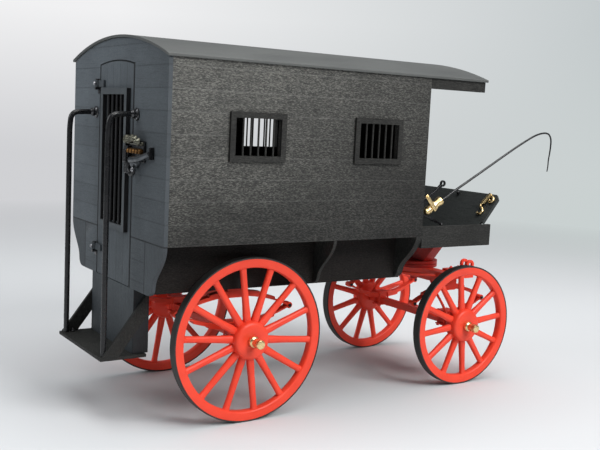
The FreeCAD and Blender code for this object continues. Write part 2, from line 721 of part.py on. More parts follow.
def door_lock():
    """The latch on the door's grille, and its keeper with a slide handle beside it."""
    x = (rear - hatch_proud - latch_thick, rear - hatch_proud)
    y = (hatch_right - hatch_rim, hatch_right)
    node("door_latch", board("latch", x, y, (latch_height, latch_height + latch_tall)))
    edge = -door_half - 2 * door_gap
    block_z = (keeper_low, keeper_low + keeper_tall)
    block = board("keeper", (rear - keeper_thick, rear), (edge - keeper_width, edge), block_z)
    handle_z = keeper_low + keeper_tall / 4
    reach = (edge - handle_reach, edge - keeper_width)
    handle = rod("handle", "Y", reach, (rear - keeper_thick / 2, handle_z), keeper_thick / 2)
    spot = (rear - keeper_thick / 2, handle_z)
    end = rod("handle_end", "Y", (reach[0], reach[0] + handle_end_thick), spot, handle_end_radius)
    behind_y = (reach[0] - wall, edge)
    wedge = board("handle_free", (rear, rear + wall), behind_y, (keeper_low - wall, block_z[1]))
    node("lock_keeper", cut("keeper_cut", join("keeper_whole", block, handle, end), wedge))


# ---- step and grab rails --------------------------------------------------------------------


def rear_step():
    x = (rear, rear + step_box_deep)
    z = (step_top, floor_height)
    outer = board("box_outer", x, (-step_box_half, step_box_half), z)
    inside = step_box_half - wall
    through_z = (z[0] - wall, z[1] + wall)
    inner = board("box_inner", (x[0] + wall, x[1] + wall), (-inside, inside), through_z)
    node("step_box", cut("box_cut", outer, inner))
    along = (rear - step_reach, rear + step_front)
    node("step_board", board("step", along, (-step_half, step_half), (step_height, step_top)))
    back = rear - step_reach + roof_lip
    front = rear + step_front
    fall = (brace_top - step_top) * brace_foot / (front - back)
    corners = [
        (back, step_top),
        (back + brace_foot, step_top),
        (front, brace_top - fall),
        (front, brace_top),
    ]
    brace = outline("brace", "XZ", corners, -step_box_half - wall, -step_box_half)
    node("step_braces", both_sides("braces", brace))


def grab_rail():
    """A post up from the step, bent over to a flange on the rear panel."""
    y = -rail_half
    x = rear - rail_place
    turn_low = rail_height - rail_bend
    post = rod("post", "Z", (step_top, turn_low), (x, y), rail_radius)
    bend = doc.addObject("Part::Torus", "bend")
    bind(bend, Radius1=rail_bend, Radius2=rail_radius)
    bend.Angle3 = 90
    bend_turn = Rotation(AXES["X"], 90) * Rotation(AXES["Z"], 90)
    place(bend, x + rail_bend, y, turn_low, turn=bend_turn)
    arm = rod("arm", "X", (x + rail_bend, rear), (y, rail_height), rail_radius)
    flange = rod("flange", "X", (rear - flange_thick, rear), (y, rail_height), flange_radius)
    foot = rod("foot", "Z", (step_top, step_top + foot_tall), (x, y), foot_radius)
    right = join("grab_rail", post, bend, arm, flange, foot)
    node("grab_rail_right", right)
    node("grab_rail_left", mirrored("grab_rail_mirror", right))


# ---- whip and brake lever -------------------------------------------------------------------


def sloped(name, along, start, long, radius):
    """A rod in the whip's line: start is how far up the line it begins."""
    slope = math.radians(whip_slope.number)
    cylinder = doc.addObject("Part::Cylinder", name)
    bind(cylinder, Radius=radius, Height=long)
    x = rear + socket_place + start * math.cos(slope)
    z = socket_height + start * math.sin(slope)
    turn = Rotation(AXES["Y"], 90 - whip_slope.number)
    return place(cylinder, x, along, z, turn=turn)


def whip_socket():
    """A tube on a strap that is screwed to the inner face of the right side panel."""
    y = whip_line()
    tube = sloped("tube", y, as_size(0), socket_long, socket_radius)
    collar = sloped("collar", y, socket_long - wall, wall, socket_radius + play)
    bore = sloped("socket_hole", y, wall, socket_long + wall, socket_bore)
    strap = doc.addObject("Part::Box", "strap")
    bind(strap, Length=strap_width, Width=lever_thick, Height=strap_long)
    turn = Rotation(-AXES["Y"], strap_slope.number)
    place(strap, rear + strap_foot, -inner_half, strap_foot_height, turn=turn)
    strap.setExpression("Placement.Rotation.Angle", strap_slope.text)
    node("whip_socket", cut("socket", join("socket_whole", tube, collar, strap), bore))


def whip_line():
    """How far to the side the whip stands: its socket is let into the strap a little."""
    return socket_radius + lever_thick - socket_let_in - inner_half


def whip():
    """A stick that stands in the socket, then a gentle bend, a droop and a hanging lash."""
    slope = math.radians(whip_slope.number)
    crest = math.radians(whip_crest.number)
    sweep, bend = whip_sweep.number, whip_bend.number
    foot = Vector((rear + socket_place).number, whip_line().number, socket_height.number)
    forward = Vector(math.cos(slope), 0, math.sin(slope))
    start = foot + forward * 2 * wall.number
    tip_x = overall_length.number / 2 - whip_radius.number
    run = tip_x - bend * (1 + math.sin(crest)) - sweep * (math.sin(slope) - math.sin(crest)) - foot.x
    stick_end = foot + forward * (run / math.cos(slope))
    sweep_centre = stick_end + Vector(math.sin(slope), 0, -math.cos(slope)) * sweep
    bend_start = on_arc(sweep_centre, sweep, crest)
    bend_centre = bend_start + Vector(math.sin(crest), 0, -math.cos(crest)) * bend
    down = on_arc(bend_centre, bend, -math.pi / 2)
    edges = [
        Part.LineSegment(start, stick_end).toShape(),
        Part.Arc(stick_end, on_arc(sweep_centre, sweep, (slope + crest) / 2), bend_start).toShape(),
        Part.Arc(bend_start, on_arc(bend_centre, bend, 0), down).toShape(),
        Part.LineSegment(down, down - Vector(0, 0, whip_lash.number)).toShape(),
    ]
    ring = Part.Wire([Part.Circle(start, forward, whip_radius.number).toShape()])
    piece = doc.addObject("Part::Feature", "whip_shape")
    piece.Shape = Part.Wire(edges).makePipeShell([ring], True, True)
    node("whip", piece)


def on_arc(centre, radius, slope):
    """The point of a downward-curving arc where its slope is the given angle."""
    return centre + Vector(-math.sin(slope), 0, math.cos(slope)) * radius


def brake_lever():
    """A bent flat lever on a lug of the seat riser, with a ring at its top."""
    x = side_front + lever_ahead
    z = lever_height
    bar = lever_thick
    elbow_x = x + elbow_ahead
    elbow_z = z + elbow_up
    corners = [
        (x - bar, z),
        (x, z - bar),
        (x + pedal_ahead, z - pedal_down - bar / 2),
        (x + pedal_ahead, z - pedal_down + bar / 2),
        (x + 2 * bar, z),
        (elbow_x + bar / 2, elbow_z - bar / 2),
        (x + handle_ahead, z + handle_up - bar),
        (x + handle_ahead - bar, z + handle_up),
        (elbow_x - bar / 2, elbow_z + bar / 2),
        (x, z + bar),
    ]
    y = (-lever_place, lever_thick - lever_place)
    arms = outline("lever_arms", "XZ", corners, *y)
    spot = (x + handle_ahead, z + handle_up)
    ring = rod("lever_ring_disc", "Y", y, spot, lever_ring)
    through = (y[0] - wall, y[1] + wall)
    hole = rod("lever_ring_hole", "Y", through, spot, lever_ring / 2)
    lug = board("lever_lug", (side_front, x + bar), (y[0] - bar, y[0]), (z - bar, z + bar))
    node("brake_lever", cut("lever_cut", join("lever_whole", arms, ring, lug), hole))


# ---- wheels and running gear ----------------------------------------------------------------


def turned_ring(body, name, inner, outer, low, high):
    """A ring round the wheel's own axle, between two radii and two faces."""
    corners = [(inner, low), (outer, low), (outer, high), (inner, high)]
    profile = closed_sketch(body, f"{name}_sketch", "XY", corners)
    turned = body.newObject("PartDesign::Revolution", name)
    turned.Profile = profile
    turned.ReferenceAxis = (profile, ["V_Axis"])
    turned.Angle = 360
    doc.recompute()
    return profile


def wheel(name, x, radius, track, spokes):
    """Hub, tapered spokes and rim, turned and patterned about the wheel's own axle."""
    body = doc.addObject("PartDesign::Body", name)
    rim_radius = radius - tyre_thick
    bore = spindle_radius + pin_clearance
    hub = turned_ring(body, f"{name}_hub", bore, hub_radius, -hub_in, hub_out)
    start = hub_radius - spoke_root
    end = rim_radius - felloe_deep / 2
    corners = [(start, 0), (end, 0), (end, spoke_tip), (start, spoke_root)]
    stick = body.newObject("PartDesign::Revolution", f"{name}_spoke")
    stick.Profile = closed_sketch(body, f"{name}_spoke_sketch", "XY", corners)
    stick.ReferenceAxis = (stick.Profile[0], ["H_Axis"])
    stick.Angle = 360
    doc.recompute()
    spread = body.newObject("PartDesign::PolarPattern", f"{name}_spokes")
    spread.Originals = [stick]
    spread.Axis = (hub, ["V_Axis"])
    spread.Angle = 360
    bind(spread, Occurrences=spokes)
    body.Tip = spread
    doc.recompute()
    half = felloe_width / 2
    turned_ring(body, f"{name}_rim", rim_radius - felloe_deep, rim_radius, -half, half)
    return place(body, x, track, radius)


def tyre(name, x, radius, track):
    ends = (track - tyre_width / 2, track + tyre_width / 2)
    outer = rod(f"{name}_outer", "Y", ends, (x, radius), radius)
    through = (ends[0] - wall, ends[1] + wall)
    inner = rod(f"{name}_inner", "Y", through, (x, radius), radius - tyre_thick)
    return cut(name, outer, inner)


def wheels():
    ends = (
        ("rear", rear_axle_x, rear_radius, rear_track, rear_spokes),
        ("front", front_axle_x, front_radius, front_track, front_spokes),
    )
    for end, x, radius, track, spokes in ends:
        left_wheel = wheel(f"wheel_{end}", x, radius, track, spokes)
        left_tyre = tyre(f"tyre_{end}", x, radius, track)
        node(f"wheel_{end}_left", left_wheel)
        node(f"tyre_{end}_left", left_tyre)
        node(f"wheel_{end}_right", mirrored(f"wheel_{end}_mirror", left_wheel))
        node(f"tyre_{end}_right", mirrored(f"tyre_{end}_mirror", left_tyre))


def axle(end, x, radius, track):
    """A square beam with a round spindle at each end, and a brass nut outside each hub."""
    half = axle_thick / 2
    shoulder = track - hub_in - play
    face = track + hub_out + play
    z = (radius - half, radius + half)
    beam = board(f"{end}_beam", (x - half, x + half), (-shoulder, shoulder), z)
    spindle = rod(f"{end}_spindle", "Y", (-face, face), (x, radius), spindle_radius)
    node(f"{end}_axle", join(f"{end}_axle_whole", beam, spindle))
    flange = rod(f"{end}_flange", "Y", (face, face + nut_thick), (x, radius), nut_radius)
    cap_y = (face + nut_thick, face + nut_thick + cap_long)
    cap = rod(f"{end}_cap", "Y", cap_y, (x, radius), cap_radius)
    nut = join(f"{end}_nut", flange, cap)
    node(f"{end}_axle_nuts", both_sides(f"{end}_nuts", nut))


def half_spring(name, x, y, foot, half, tall, upward):
    """Three leaves of an elliptic spring's half, the longest one next to its hollow."""
    middle = foot + tall / 2
    sag = tall / 2 - 3 * leaf + leaf / 2
    radius = (half * half + sag * sag) / (2 * sag)
    leaves = []
    for number, share in enumerate(LEAF_SHARES):
        inner = radius - leaf / 2 + number * leaf
        centre = middle - upward * (radius - sag)
        outer_rod = rod(f"{name}_outer_{number}", "Y", y, (x, centre), inner + leaf)
        hollow_y = (y[0] - wall, y[1] + wall)
        inner_rod = rod(f"{name}_hollow_{number}", "Y", hollow_y, (x, centre), inner)
        reach = half * share
        z = (middle, foot + tall) if upward > 0 else (foot, middle)
        window = board(f"{name}_part_{number}", (x - reach, x + reach), y, z)
        arc = cut(f"{name}_arc_{number}", outer_rod, inner_rod)
        leaves.append(shared(f"{name}_leaf_{number}", arc, window))
    return leaves


def spring(end, x, place_y, foot, half, tall):
    """A full elliptic spring: two halves, joined by an eye at each end, with clips."""
    y = (-place_y - spring_width / 2, spring_width / 2 - place_y)
    pieces = half_spring(f"{end}_upper", x, y, foot, half, tall, 1)
    pieces += half_spring(f"{end}_lower", x, y, foot, half, tall, -1)
    middle = foot + tall / 2
    for side, name in ((-1, "back"), (1, "fore")):
        pieces.append(rod(f"{end}_eye_{name}", "Y", y, (x + side * half, middle), spring_eye))
    for level, low in (("foot", foot), ("head", foot + tall - clip_tall)):
        clip_y = (y[0] - play, y[1] + play)
        clip_z = (low, low + clip_tall)
        pieces.append(board(f"{end}_clip_{level}", (x - clip_half, x + clip_half), clip_y, clip_z))
    return join(f"{end}_spring", *pieces)


def springs():
    x = rear_axle_x
    y = rear_spring_place
    spring_back = spring("rear", x, y, rear_spring_foot, rear_spring_half, rear_spring_tall)
    top = rear_spring_foot + rear_spring_tall
    across = (-y - spring_width / 2, spring_width / 2 - y)
    block = board("spring_block", (x - clip_half, x + clip_half), across, (top, floor_height))
    whole = join("rear_spring_and_block", spring_back, block)
    node("rear_spring_right", whole)
    node("rear_spring_left", mirrored("rear_spring_mirror", whole))
    x = front_axle_x
    y = front_spring_place
    spring_fore = spring("front", x, y, front_spring_foot, front_spring_half, front_spring_tall)
    node("front_spring_right", spring_fore)
    node("front_spring_left", mirrored("front_spring_mirror", spring_fore))


def turntable_plate(name, low, hole):
    spot = (front_axle_x, as_size(0))
    plate = rod(f"{name}_disc", "Z", (low, low + turntable_thick), spot, turntable_radius)
    bore = rod(f"{name}_bore", "Z", (low - wall, low + 2 * wall), spot, hole)
    return cut(name, plate, bore)


def front_gear():
    """Beam, turntable and shaft arms, which steer, and the bolster above, which doesn't."""
    x = front_axle_x
    half = gear_beam_thick / 2
    z = (gear_beam_low, turntable_low)
    beam = board("gear_beam_whole", (x - half, x + half), (-gear_beam_half, gear_beam_half), z)
    bore_z = (z[0] - wall, z[1] + wall)
    bore = rod("gear_beam_bore", "Z", bore_z, (x, as_size(0)), king_radius + pin_clearance)
    node("gear_beam", cut("gear_beam_cut", beam, bore))
    loose = king_radius + pin_clearance
    node("turntable_lower", turntable_plate("lower_plate", turntable_low, loose))
    node("turntable_upper", turntable_plate("upper_plate", turntable_high, loose))
    pin = rod("king_shank", "Z", (gear_beam_low - play, bolster_low), (x, as_size(0)), king_radius)
    nut_z = (gear_beam_low - play - wall, gear_beam_low - play)
    nut = rod("king_nut", "Z", nut_z, (x, as_size(0)), king_head)
    node("king_pin", join("king_pin_whole", pin, nut))


def body_bolster():
    """A tapered beam under the driver's floor, on the upper turntable plate."""
    x = (front_axle_x - bolster_thick / 2, front_axle_x + bolster_thick / 2)
    top = toe_floor_height - bolster_plate
    corners = [
        (-bolster_foot, bolster_low),
        (bolster_foot, bolster_low),
        (bolster_top, top),
        (-bolster_top, top),
    ]
    taper = outline("bolster_taper", "YZ", corners, x[0], x[1])
    along = (front_axle_x - bolster_plate_half, front_axle_x + bolster_plate_half)
    plate = board("bolster_top_plate", along, (-bolster_top, bolster_top), (top, toe_floor_height))
    node("body_bolster", join("bolster", taper, plate))


def shaft_arms():
    """Arms forward from the gear beam, each with a pair of rings for a shaft's bolt."""
    y = (-futchell_place - futchell_width / 2, futchell_width / 2 - futchell_place)
    low = gear_beam_low + futchell_low
    back = front_axle_x + gear_beam_thick / 2
    eye_x = front_axle_x + futchell_reach
    arm = board("arm_bar", (back, eye_x + eye_radius), y, (low, low + futchell_tall))
    eye_z = low + futchell_tall + eye_lift
    pieces = [arm]
    rings = (("outer", y[0]), ("inner", y[1] - eye_thick))
    for name, edge in rings:
        pieces.append(rod(f"eye_{name}", "Y", (edge, edge + eye_thick), (eye_x, eye_z), eye_radius))
    bore = rod("eye_hole", "Y", (y[0] - wall, y[1] + wall), (eye_x, eye_z), eye_bore)
    arm_whole = cut("shaft_arm", join("shaft_arm_whole", *pieces), bore)
    node("shaft_arms", both_sides("shaft_arm_pair", arm_whole))


side_panels()
window_grilles()
rear_panel()
ogee_boards()
lower_body()
cabin_bulkhead()
roof()
canopy()
driver_place()
dash_board()
dash_scrolls()
rear_door()
door_grille()
door_hinges()
door_lock()
rear_step()
grab_rail()
whip_socket()
whip()
brake_lever()
wheels()
axle("rear", rear_axle_x, rear_radius, rear_track)
axle("front", front_axle_x, front_radius, front_track)
springs()
front_gear()
body_bolster()
shaft_arms()

doc.recompute()

# ---- check and write ------------------------------------------------------------------------

failed = [thing.Name for thing in doc.Objects if "Invalid" in thing.State or "Error" in thing.State]
if failed:
    raise RuntimeError(f"features failed: {failed}")
for thing in nodes:
    if thing.Shape.isNull() or not thing.Shape.isValid() or not thing.Shape.Solids:
        raise RuntimeError(f"{thing.Label} has no valid solid")

os.makedirs("parts", exist_ok=True)
for thing in nodes:
    thing.Shape.exportStep(f"parts/{thing.Label}.step")
    solids = len(thing.Shape.Solids)
    print(f"{thing.Label}: {solids} solid(s), {thing.Shape.Volume:.1f} mm3")
whole = Part.makeCompound([thing.Shape for thing in nodes]).BoundBox
print(f"{len(nodes)} nodes; X {whole.XMin:.2f} to {whole.XMax:.2f}, "
      f"Y {whole.YMin:.2f} to {whole.YMax:.2f}, Z {whole.ZMin:.2f} to {whole.ZMax:.2f}")
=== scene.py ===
import json
import math

import bpy
from mathutils import Matrix, Vector


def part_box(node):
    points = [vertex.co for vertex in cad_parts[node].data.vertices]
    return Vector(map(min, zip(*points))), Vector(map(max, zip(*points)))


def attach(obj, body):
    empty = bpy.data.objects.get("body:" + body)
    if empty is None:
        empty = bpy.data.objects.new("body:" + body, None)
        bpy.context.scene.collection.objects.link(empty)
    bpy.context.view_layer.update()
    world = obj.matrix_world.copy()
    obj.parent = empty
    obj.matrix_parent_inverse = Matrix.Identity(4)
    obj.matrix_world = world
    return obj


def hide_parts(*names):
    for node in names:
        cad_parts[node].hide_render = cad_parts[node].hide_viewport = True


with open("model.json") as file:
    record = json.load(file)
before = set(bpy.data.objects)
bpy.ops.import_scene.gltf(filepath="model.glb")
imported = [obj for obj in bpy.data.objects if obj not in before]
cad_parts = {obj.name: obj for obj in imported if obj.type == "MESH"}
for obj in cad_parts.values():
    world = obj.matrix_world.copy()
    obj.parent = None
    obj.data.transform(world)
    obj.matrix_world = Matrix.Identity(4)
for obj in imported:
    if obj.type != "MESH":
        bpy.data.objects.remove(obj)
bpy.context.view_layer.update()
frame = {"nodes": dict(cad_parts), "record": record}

# ---- Studio ---------------------------------------------------------------------------------
# A pale paper floor that curves up all round the wagon. Three large soft lamps light it: one
# overhead, one at the rear left that grazes the rear panel, and one on the near side.

STUDIO_GREY = (0.60, 0.61, 0.62)


class Shade:
    """A socket in a material's tree. Arithmetic on it adds Math nodes."""

    def __init__(self, tree, socket=None):
        self.tree = tree
        self.socket = socket

    def add(self, kind, settings=None, sockets=None, output=0):
        """Add a node: its settings go in first, then the values or links of its sockets."""
        node = self.tree.nodes.new("ShaderNode" + kind)
        for name, value in (settings or {}).items():
            setattr(node, name, value)
        for name, value in (sockets or {}).items():
            if isinstance(value, Shade):
                self.tree.links.new(value.socket, node.inputs[name])
            elif isinstance(value, (tuple, list)):
                slot = node.inputs[name]
                slot.default_value = value if len(slot.default_value) == 3 else (*value, 1)
            else:
                node.inputs[name].default_value = value
        return Shade(self.tree, node.outputs[output] if len(node.outputs) else None)

    def math(self, operation, first, second):
        return self.add("Math", {"operation": operation}, {0: first, 1: second})

    def __add__(self, other):
        return self.math("ADD", self, other)

    __radd__ = __add__

    def __mul__(self, other):
        return self.math("MULTIPLY", self, other)

    __rmul__ = __mul__

    def __sub__(self, other):
        return self.math("SUBTRACT", self, other)

    def __rsub__(self, other):
        return self.math("SUBTRACT", other, self)

    def __truediv__(self, other):
        return self.math("DIVIDE", self, other)

    def stretched(self, place, scale):
        """Object coordinates, moved and scaled for a pattern that runs along one axis."""
        spot = self.add("TexCoord", output="Object")
        return self.add("Mapping", None, {"Vector": spot, "Location": place, "Scale": scale})

    def noise(self, vector, scale, detail=3.0, rough=0.5, distortion=0.0):
        sockets = {"Vector": vector, "Scale": scale, "Detail": detail}
        sockets.update({"Roughness": rough, "Distortion": distortion})
        return self.add("TexNoise", None, sockets)

    def between(self, low, high, bottom=0.0, top=1.0):
        """This value's run from low to high, stretched from bottom to top and clamped."""
        sockets = {0: self, 1: low, 2: high, 3: bottom, 4: top}
        return self.add("MapRange", {"clamp": True}, sockets)

    def mix(self, mask, first, second, blend="MIX"):
        settings = {"data_type": "RGBA", "blend_type": blend}
        return self.add("Mix", settings, {0: mask, 6: first, 7: second}, output=2)


def finish(name, colour, rough, bumps, **fixed):
    """Close a material: its colour, roughness, bump layers and fixed shader values."""
    normal = None
    for height, strength, deep in bumps:
        sockets = {"Height": height, "Strength": strength, "Distance": deep}
        if normal:
            sockets["Normal"] = normal
        normal = colour.add("Bump", None, sockets)
    sockets = {"Base Color": colour, "Roughness": rough}
    if normal:
        sockets["Normal"] = normal
    for label, value in fixed.items():
        sockets[label.replace("_", " ")] = value
    shader = colour.add("BsdfPrincipled", None, sockets)
    colour.add("OutputMaterial", None, {"Surface": shader})
    return bpy.data.materials[name]


def blank(name):
    material = bpy.data.materials.new(name)
    material.use_nodes = True
    material.node_tree.nodes.clear()
    return Shade(material.node_tree)


def calm():
    """Leave edit mode with nothing selected."""
    if bpy.context.object and bpy.context.object.mode != "OBJECT":
        bpy.ops.object.mode_set(mode="OBJECT")
    bpy.ops.object.select_all(action="DESELECT")


def select(*pieces):
    calm()
    for piece in pieces:
        piece.select_set(True)
    bpy.context.view_layer.objects.active = pieces[0]
    return pieces[0]


def apply_all(piece):
    """Put a piece's place into its mesh, and its modifiers too."""
    select(piece)
    for modifier in list(piece.modifiers):
        bpy.ops.object.modifier_apply(modifier=modifier.name)
    bpy.ops.object.transform_apply(location=True, rotation=True, scale=True)
    return piece


def dress(piece, material):
    piece.data.materials.clear()
    piece.data.materials.append(material)
    return piece


studio = blank("studio_paper")
spot = studio.add("TexCoord", output="Object")
mottle = studio.noise(spot, 2.5, 2.0)
darker_grey = tuple(part * 0.97 for part in STUDIO_GREY)
paper = studio.mix(mottle.between(0.3, 0.7), STUDIO_GREY, darker_grey)
floor_coat = studio.add("BsdfPrincipled", None, {
    "Base Color": paper, "Roughness": 0.9, "Specular IOR Level": 0.0,
})
axes = [studio.add("SeparateXYZ", None, {0: spot}, output=n) for n in range(3)]
far = studio.add("VectorMath", {"operation": "LENGTH"}, {0: spot}, output=1)
heading = axes[0].math("ARCTAN2", axes[0], axes[1])
heading = heading.add("Math", {"operation": "ABSOLUTE"}, {0: heading}).between(0.35, 1.1)
climb = axes[2].between(0.0, 0.7)
# Far off, the camera sees the paper glow instead of being lamp-lit: painted light, its tone changing
# with height and with heading round the wagon.
low_glow = studio.mix(heading, (0.63, 0.635, 0.655), (0.58, 0.635, 0.63))
high_glow = studio.mix(heading, (0.88, 0.88, 0.89), (0.47, 0.52, 0.53))
backdrop_glow = studio.add("BsdfPrincipled", None, {
    "Base Color": (0, 0, 0), "Roughness": 1.0, "Specular IOR Level": 0.0,
    "Emission Color": studio.mix(climb, low_glow, high_glow), "Emission Strength": 1.0,
})
camera_ray = studio.add("LightPath")
seen_far_off = camera_ray * far.between(0.55, 1.25)
surface = studio.add("MixShader", None, {0: seen_far_off, 1: floor_coat, 2: backdrop_glow})
studio.add("OutputMaterial", None, {"Surface": surface})

FLOOR_REACH = 3.0
COVE = 1.6
COVE_STEPS = 16
WALL_RISE = 0.8
calm()
bpy.ops.mesh.primitive_circle_add(vertices=96, radius=FLOOR_REACH, fill_type="NGON")
floor = bpy.context.object
floor.name = "studio_floor"
bpy.ops.object.mode_set(mode="EDIT")
bpy.ops.mesh.select_mode(type="EDGE")
bpy.ops.mesh.select_all(action="SELECT")
bpy.ops.mesh.region_to_loop()
reach, height = FLOOR_REACH, 0.0
for step in range(1, COVE_STEPS + 1):
    turn = math.pi / 2 * step / COVE_STEPS
    new_reach = FLOOR_REACH + COVE * math.sin(turn)
    new_height = COVE * (1 - math.cos(turn))
    rise = {"value": (0, 0, new_height - height)}
    bpy.ops.mesh.extrude_edges_move(TRANSFORM_OT_translate=rise)
    grow = new_reach / reach
    bpy.ops.transform.resize(value=(grow, grow, 1), center_override=(0, 0, new_height))
    reach, height = new_reach, new_height
bpy.ops.mesh.extrude_edges_move(TRANSFORM_OT_translate={"value": (0, 0, WALL_RISE)})
bpy.ops.mesh.select_all(action="SELECT")
bpy.ops.mesh.normals_make_consistent(inside=True)
bpy.ops.object.mode_set(mode="OBJECT")
apply_all(floor)
bpy.ops.object.shade_smooth()
dress(floor, bpy.data.materials["studio_paper"])

VIEW_TURN = math.radians(-33.66)
VIEW_LIFT = math.radians(6.8)
VIEW_ROLL = math.radians(2.78)
VIEW_PLACE = (-0.35278, -0.51790, 0.18558)
across = Vector((math.cos(VIEW_TURN), math.sin(VIEW_TURN), 0))
back = Vector((
    math.sin(VIEW_TURN) * math.cos(VIEW_LIFT),
    -math.cos(VIEW_TURN) * math.cos(VIEW_LIFT),
    math.sin(VIEW_LIFT),
))
rise = back.cross(across)
right = math.cos(VIEW_ROLL) * across + math.sin(VIEW_ROLL) * rise
upward = -math.sin(VIEW_ROLL) * across + math.cos(VIEW_ROLL) * rise
lens = bpy.data.cameras.new("studio_camera")
lens.lens = 53.73
lens.sensor_width = 36.0
lens.clip_start = 0.01
camera = bpy.data.objects.new("studio_camera", lens)
bpy.context.scene.collection.objects.link(camera)
view_axes = Matrix((right, upward, back)).transposed().to_4x4()
camera.matrix_world = Matrix.Translation(VIEW_PLACE) @ view_axes
bpy.context.scene.camera = camera


def lamp(name, place, towards, size, watts, tint=(1, 1, 1)):
    """A soft rectangular lamp, turned towards a point."""
    light = bpy.data.lights.new(name, "AREA")
    light.shape = "RECTANGLE"
    light.size, light.size_y = size
    light.energy = watts
    light.color = tint
    holder = bpy.data.objects.new(name, light)
    holder.location = place
    holder.rotation_euler = (Vector(towards) - Vector(place)).to_track_quat("-Z", "Y").to_euler()
    bpy.context.scene.collection.objects.link(holder)


lamp("overhead_lamp", (0.0, -0.15, 1.4), (0, 0, 0.1), (1.2, 1.2), 17)
lamp("rear_left_lamp", (-1.3, 0.35, 0.9), (0, 0, 0.14), (0.9, 0.9), 9, (0.95, 0.98, 1))
lamp("near_lamp", (0.35, -1.3, 1.1), (0, 0, 0.06), (0.8, 0.7), 21.5)

world = bpy.data.worlds.new("studio_air")
bpy.context.scene.world = world
world.use_nodes = True
world.node_tree.nodes.clear()
air = Shade(world.node_tree)
sky = air.add("Background", None, {"Color": (0.9, 0.95, 1.0), "Strength": 0.25})
air.add("OutputWorld", None, {"Surface": sky})
bpy.context.scene.view_settings.view_transform = "Standard"

# ---- Painted boards -------------------------------------------------------------------------
# The body is thin open-grained boards under a thin coat of matt black. The grain stands up
# through the paint, and the light it catches is painted in as short pale flecks of highlight
# that run along each board.

BLACK = (0.017, 0.017, 0.016)
# The pale fleck colours are painted highlight: the light that the raised grain catches.
BLACK_GLINT = (0.175, 0.172, 0.155)
# A darker black for the boards under the body: painted shade.
BLACK_IN_SHADE = (0.010, 0.0085, 0.008)
GLINT_IN_SHADE = (0.040, 0.034, 0.028)
SLATE = (0.052, 0.060, 0.067)
SLATE_GLINT = (0.085, 0.096, 0.104)
GRAIN_ACROSS = 2300
GRAIN_ALONG = 620
PORE_ACROSS = 2600
PORE_ALONG = 110
SEAM_HALF = 0.0002
SEAM_FADED = 0.0006
# The darkest tone, used for painted shade in gaps and on shaded sides.
PAINTED_SHADE_TONE = (0.006, 0.006, 0.007)


def edge_line(coordinate, place, half):
    """1 on a line at this place across an axis, fading to 0 at half a width away."""
    gap = coordinate.add("Math", {"operation": "ABSOLUTE"}, {0: coordinate - place})
    return 1.0 - gap.between(half * 0.4, half)


def boards(
    name, run, base, glint_colour, glint_share, pitch=0.0, level=0.0, sheen=0.3, light=None, painted_gap_shade=None,
    pore=0.45, seam_tone=-0.22,
):
    """Painted boards whose grain runs along one axis, with a tone of its own for each plank.

    pitch and level place the planks' seams, light scales the tone by place with painted light
    and shade, and the last mask paints shade into gaps and onto shaded sides.
    """
    shade = blank(name)
    along = "XYZ".index(run)
    grain_size = [GRAIN_ACROSS] * 3
    grain_size[along] = GRAIN_ALONG
    grain = shade.noise(shade.stretched((0.3, 0.7, 0.1), grain_size), 1.0, 4.0, 0.7, 0.3)
    pore_size = [PORE_ACROSS] * 3
    pore_size[along] = PORE_ALONG
    pores = shade.noise(shade.stretched((0.9, 0.2, 0.4), pore_size), 1.0, 2.0, 0.5)
    spot = shade.add("TexCoord", output="Object")
    patch = shade.noise(spot, 34.0, 3.0, 0.55)
    glint_mask = grain.between(0.46, 0.66) * patch.between(0.30, 0.70, 0.45, 1.0)
    dark = pores.between(0.34, 0.46, pore, 1.0)
    tone = patch.between(0.3, 0.7, 0.90, 1.10) * dark
    axes = [shade.add("SeparateXYZ", None, {0: spot}, output=n) for n in range(3)]
    if pitch:
        place = axes[1 if run == "Z" else 2]
        plank = shade.add("Math", {"operation": "FLOOR"}, {0: (place - level) / pitch})
        share = shade.add("TexWhiteNoise", {"noise_dimensions": "1D"}, {"W": plank})
        tone = tone * share.between(0.0, 1.0, 0.94, 1.06)
        past = ((place - level) / pitch - plank) * pitch
        clear_below = past.between(SEAM_HALF, SEAM_FADED)
        seam = 1.0 - clear_below * (pitch - past).between(SEAM_HALF, SEAM_FADED)
        tone = tone * (1.0 + seam * seam_tone)
    # The light mask paints light and shade into the tone and the highlight flecks.
    if light:
        painted_lighting = light(axes)
        tone = tone * painted_lighting
        glint_mask = glint_mask * painted_lighting
    grey = shade.add("CombineColor", None, {0: tone, 1: tone, 2: tone})
    painted = shade.mix(1.0, base, grey, "MULTIPLY")
    colour = shade.mix(glint_mask * glint_share, painted, glint_colour)
    # Painted shade, darkening gaps and shaded sides.
    if painted_gap_shade:
        colour = shade.mix(painted_gap_shade(axes), colour, PAINTED_SHADE_TONE)
    rough = 0.66 - glint_mask * 0.16
    bumps = [(grain, 0.5, 0.00018), (pores, 0.25, 0.00008)]
    return finish(name, colour, rough, bumps, Specular_IOR_Level=sheen)


def painted_sheen_by_height(axes):
    """Painted light and sheen: the side is made greyer high up and towards the rear, where the light
    falls on it most.
    """
    high = axes[2].between(0.112, 0.212, 0.64, 2.50)
    return high * axes[0].between(-0.143, 0.045, 1.45, 0.52)


def painted_light_above(axes):
    """Painted light: the slate is made a little paler towards the roof and the far side."""
    high = axes[2].between(0.110, 0.220, 1.0, 1.30)
    return high * axes[1].between(-0.07, 0.07, 1.0, 1.65)


DOOR_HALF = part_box("rear_door")[1].y
DOOR_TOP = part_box("rear_door")[1].z
ARCH_RADIUS = 0.1524
WING_INSIDE = 0.048
JOINT = 0.0006


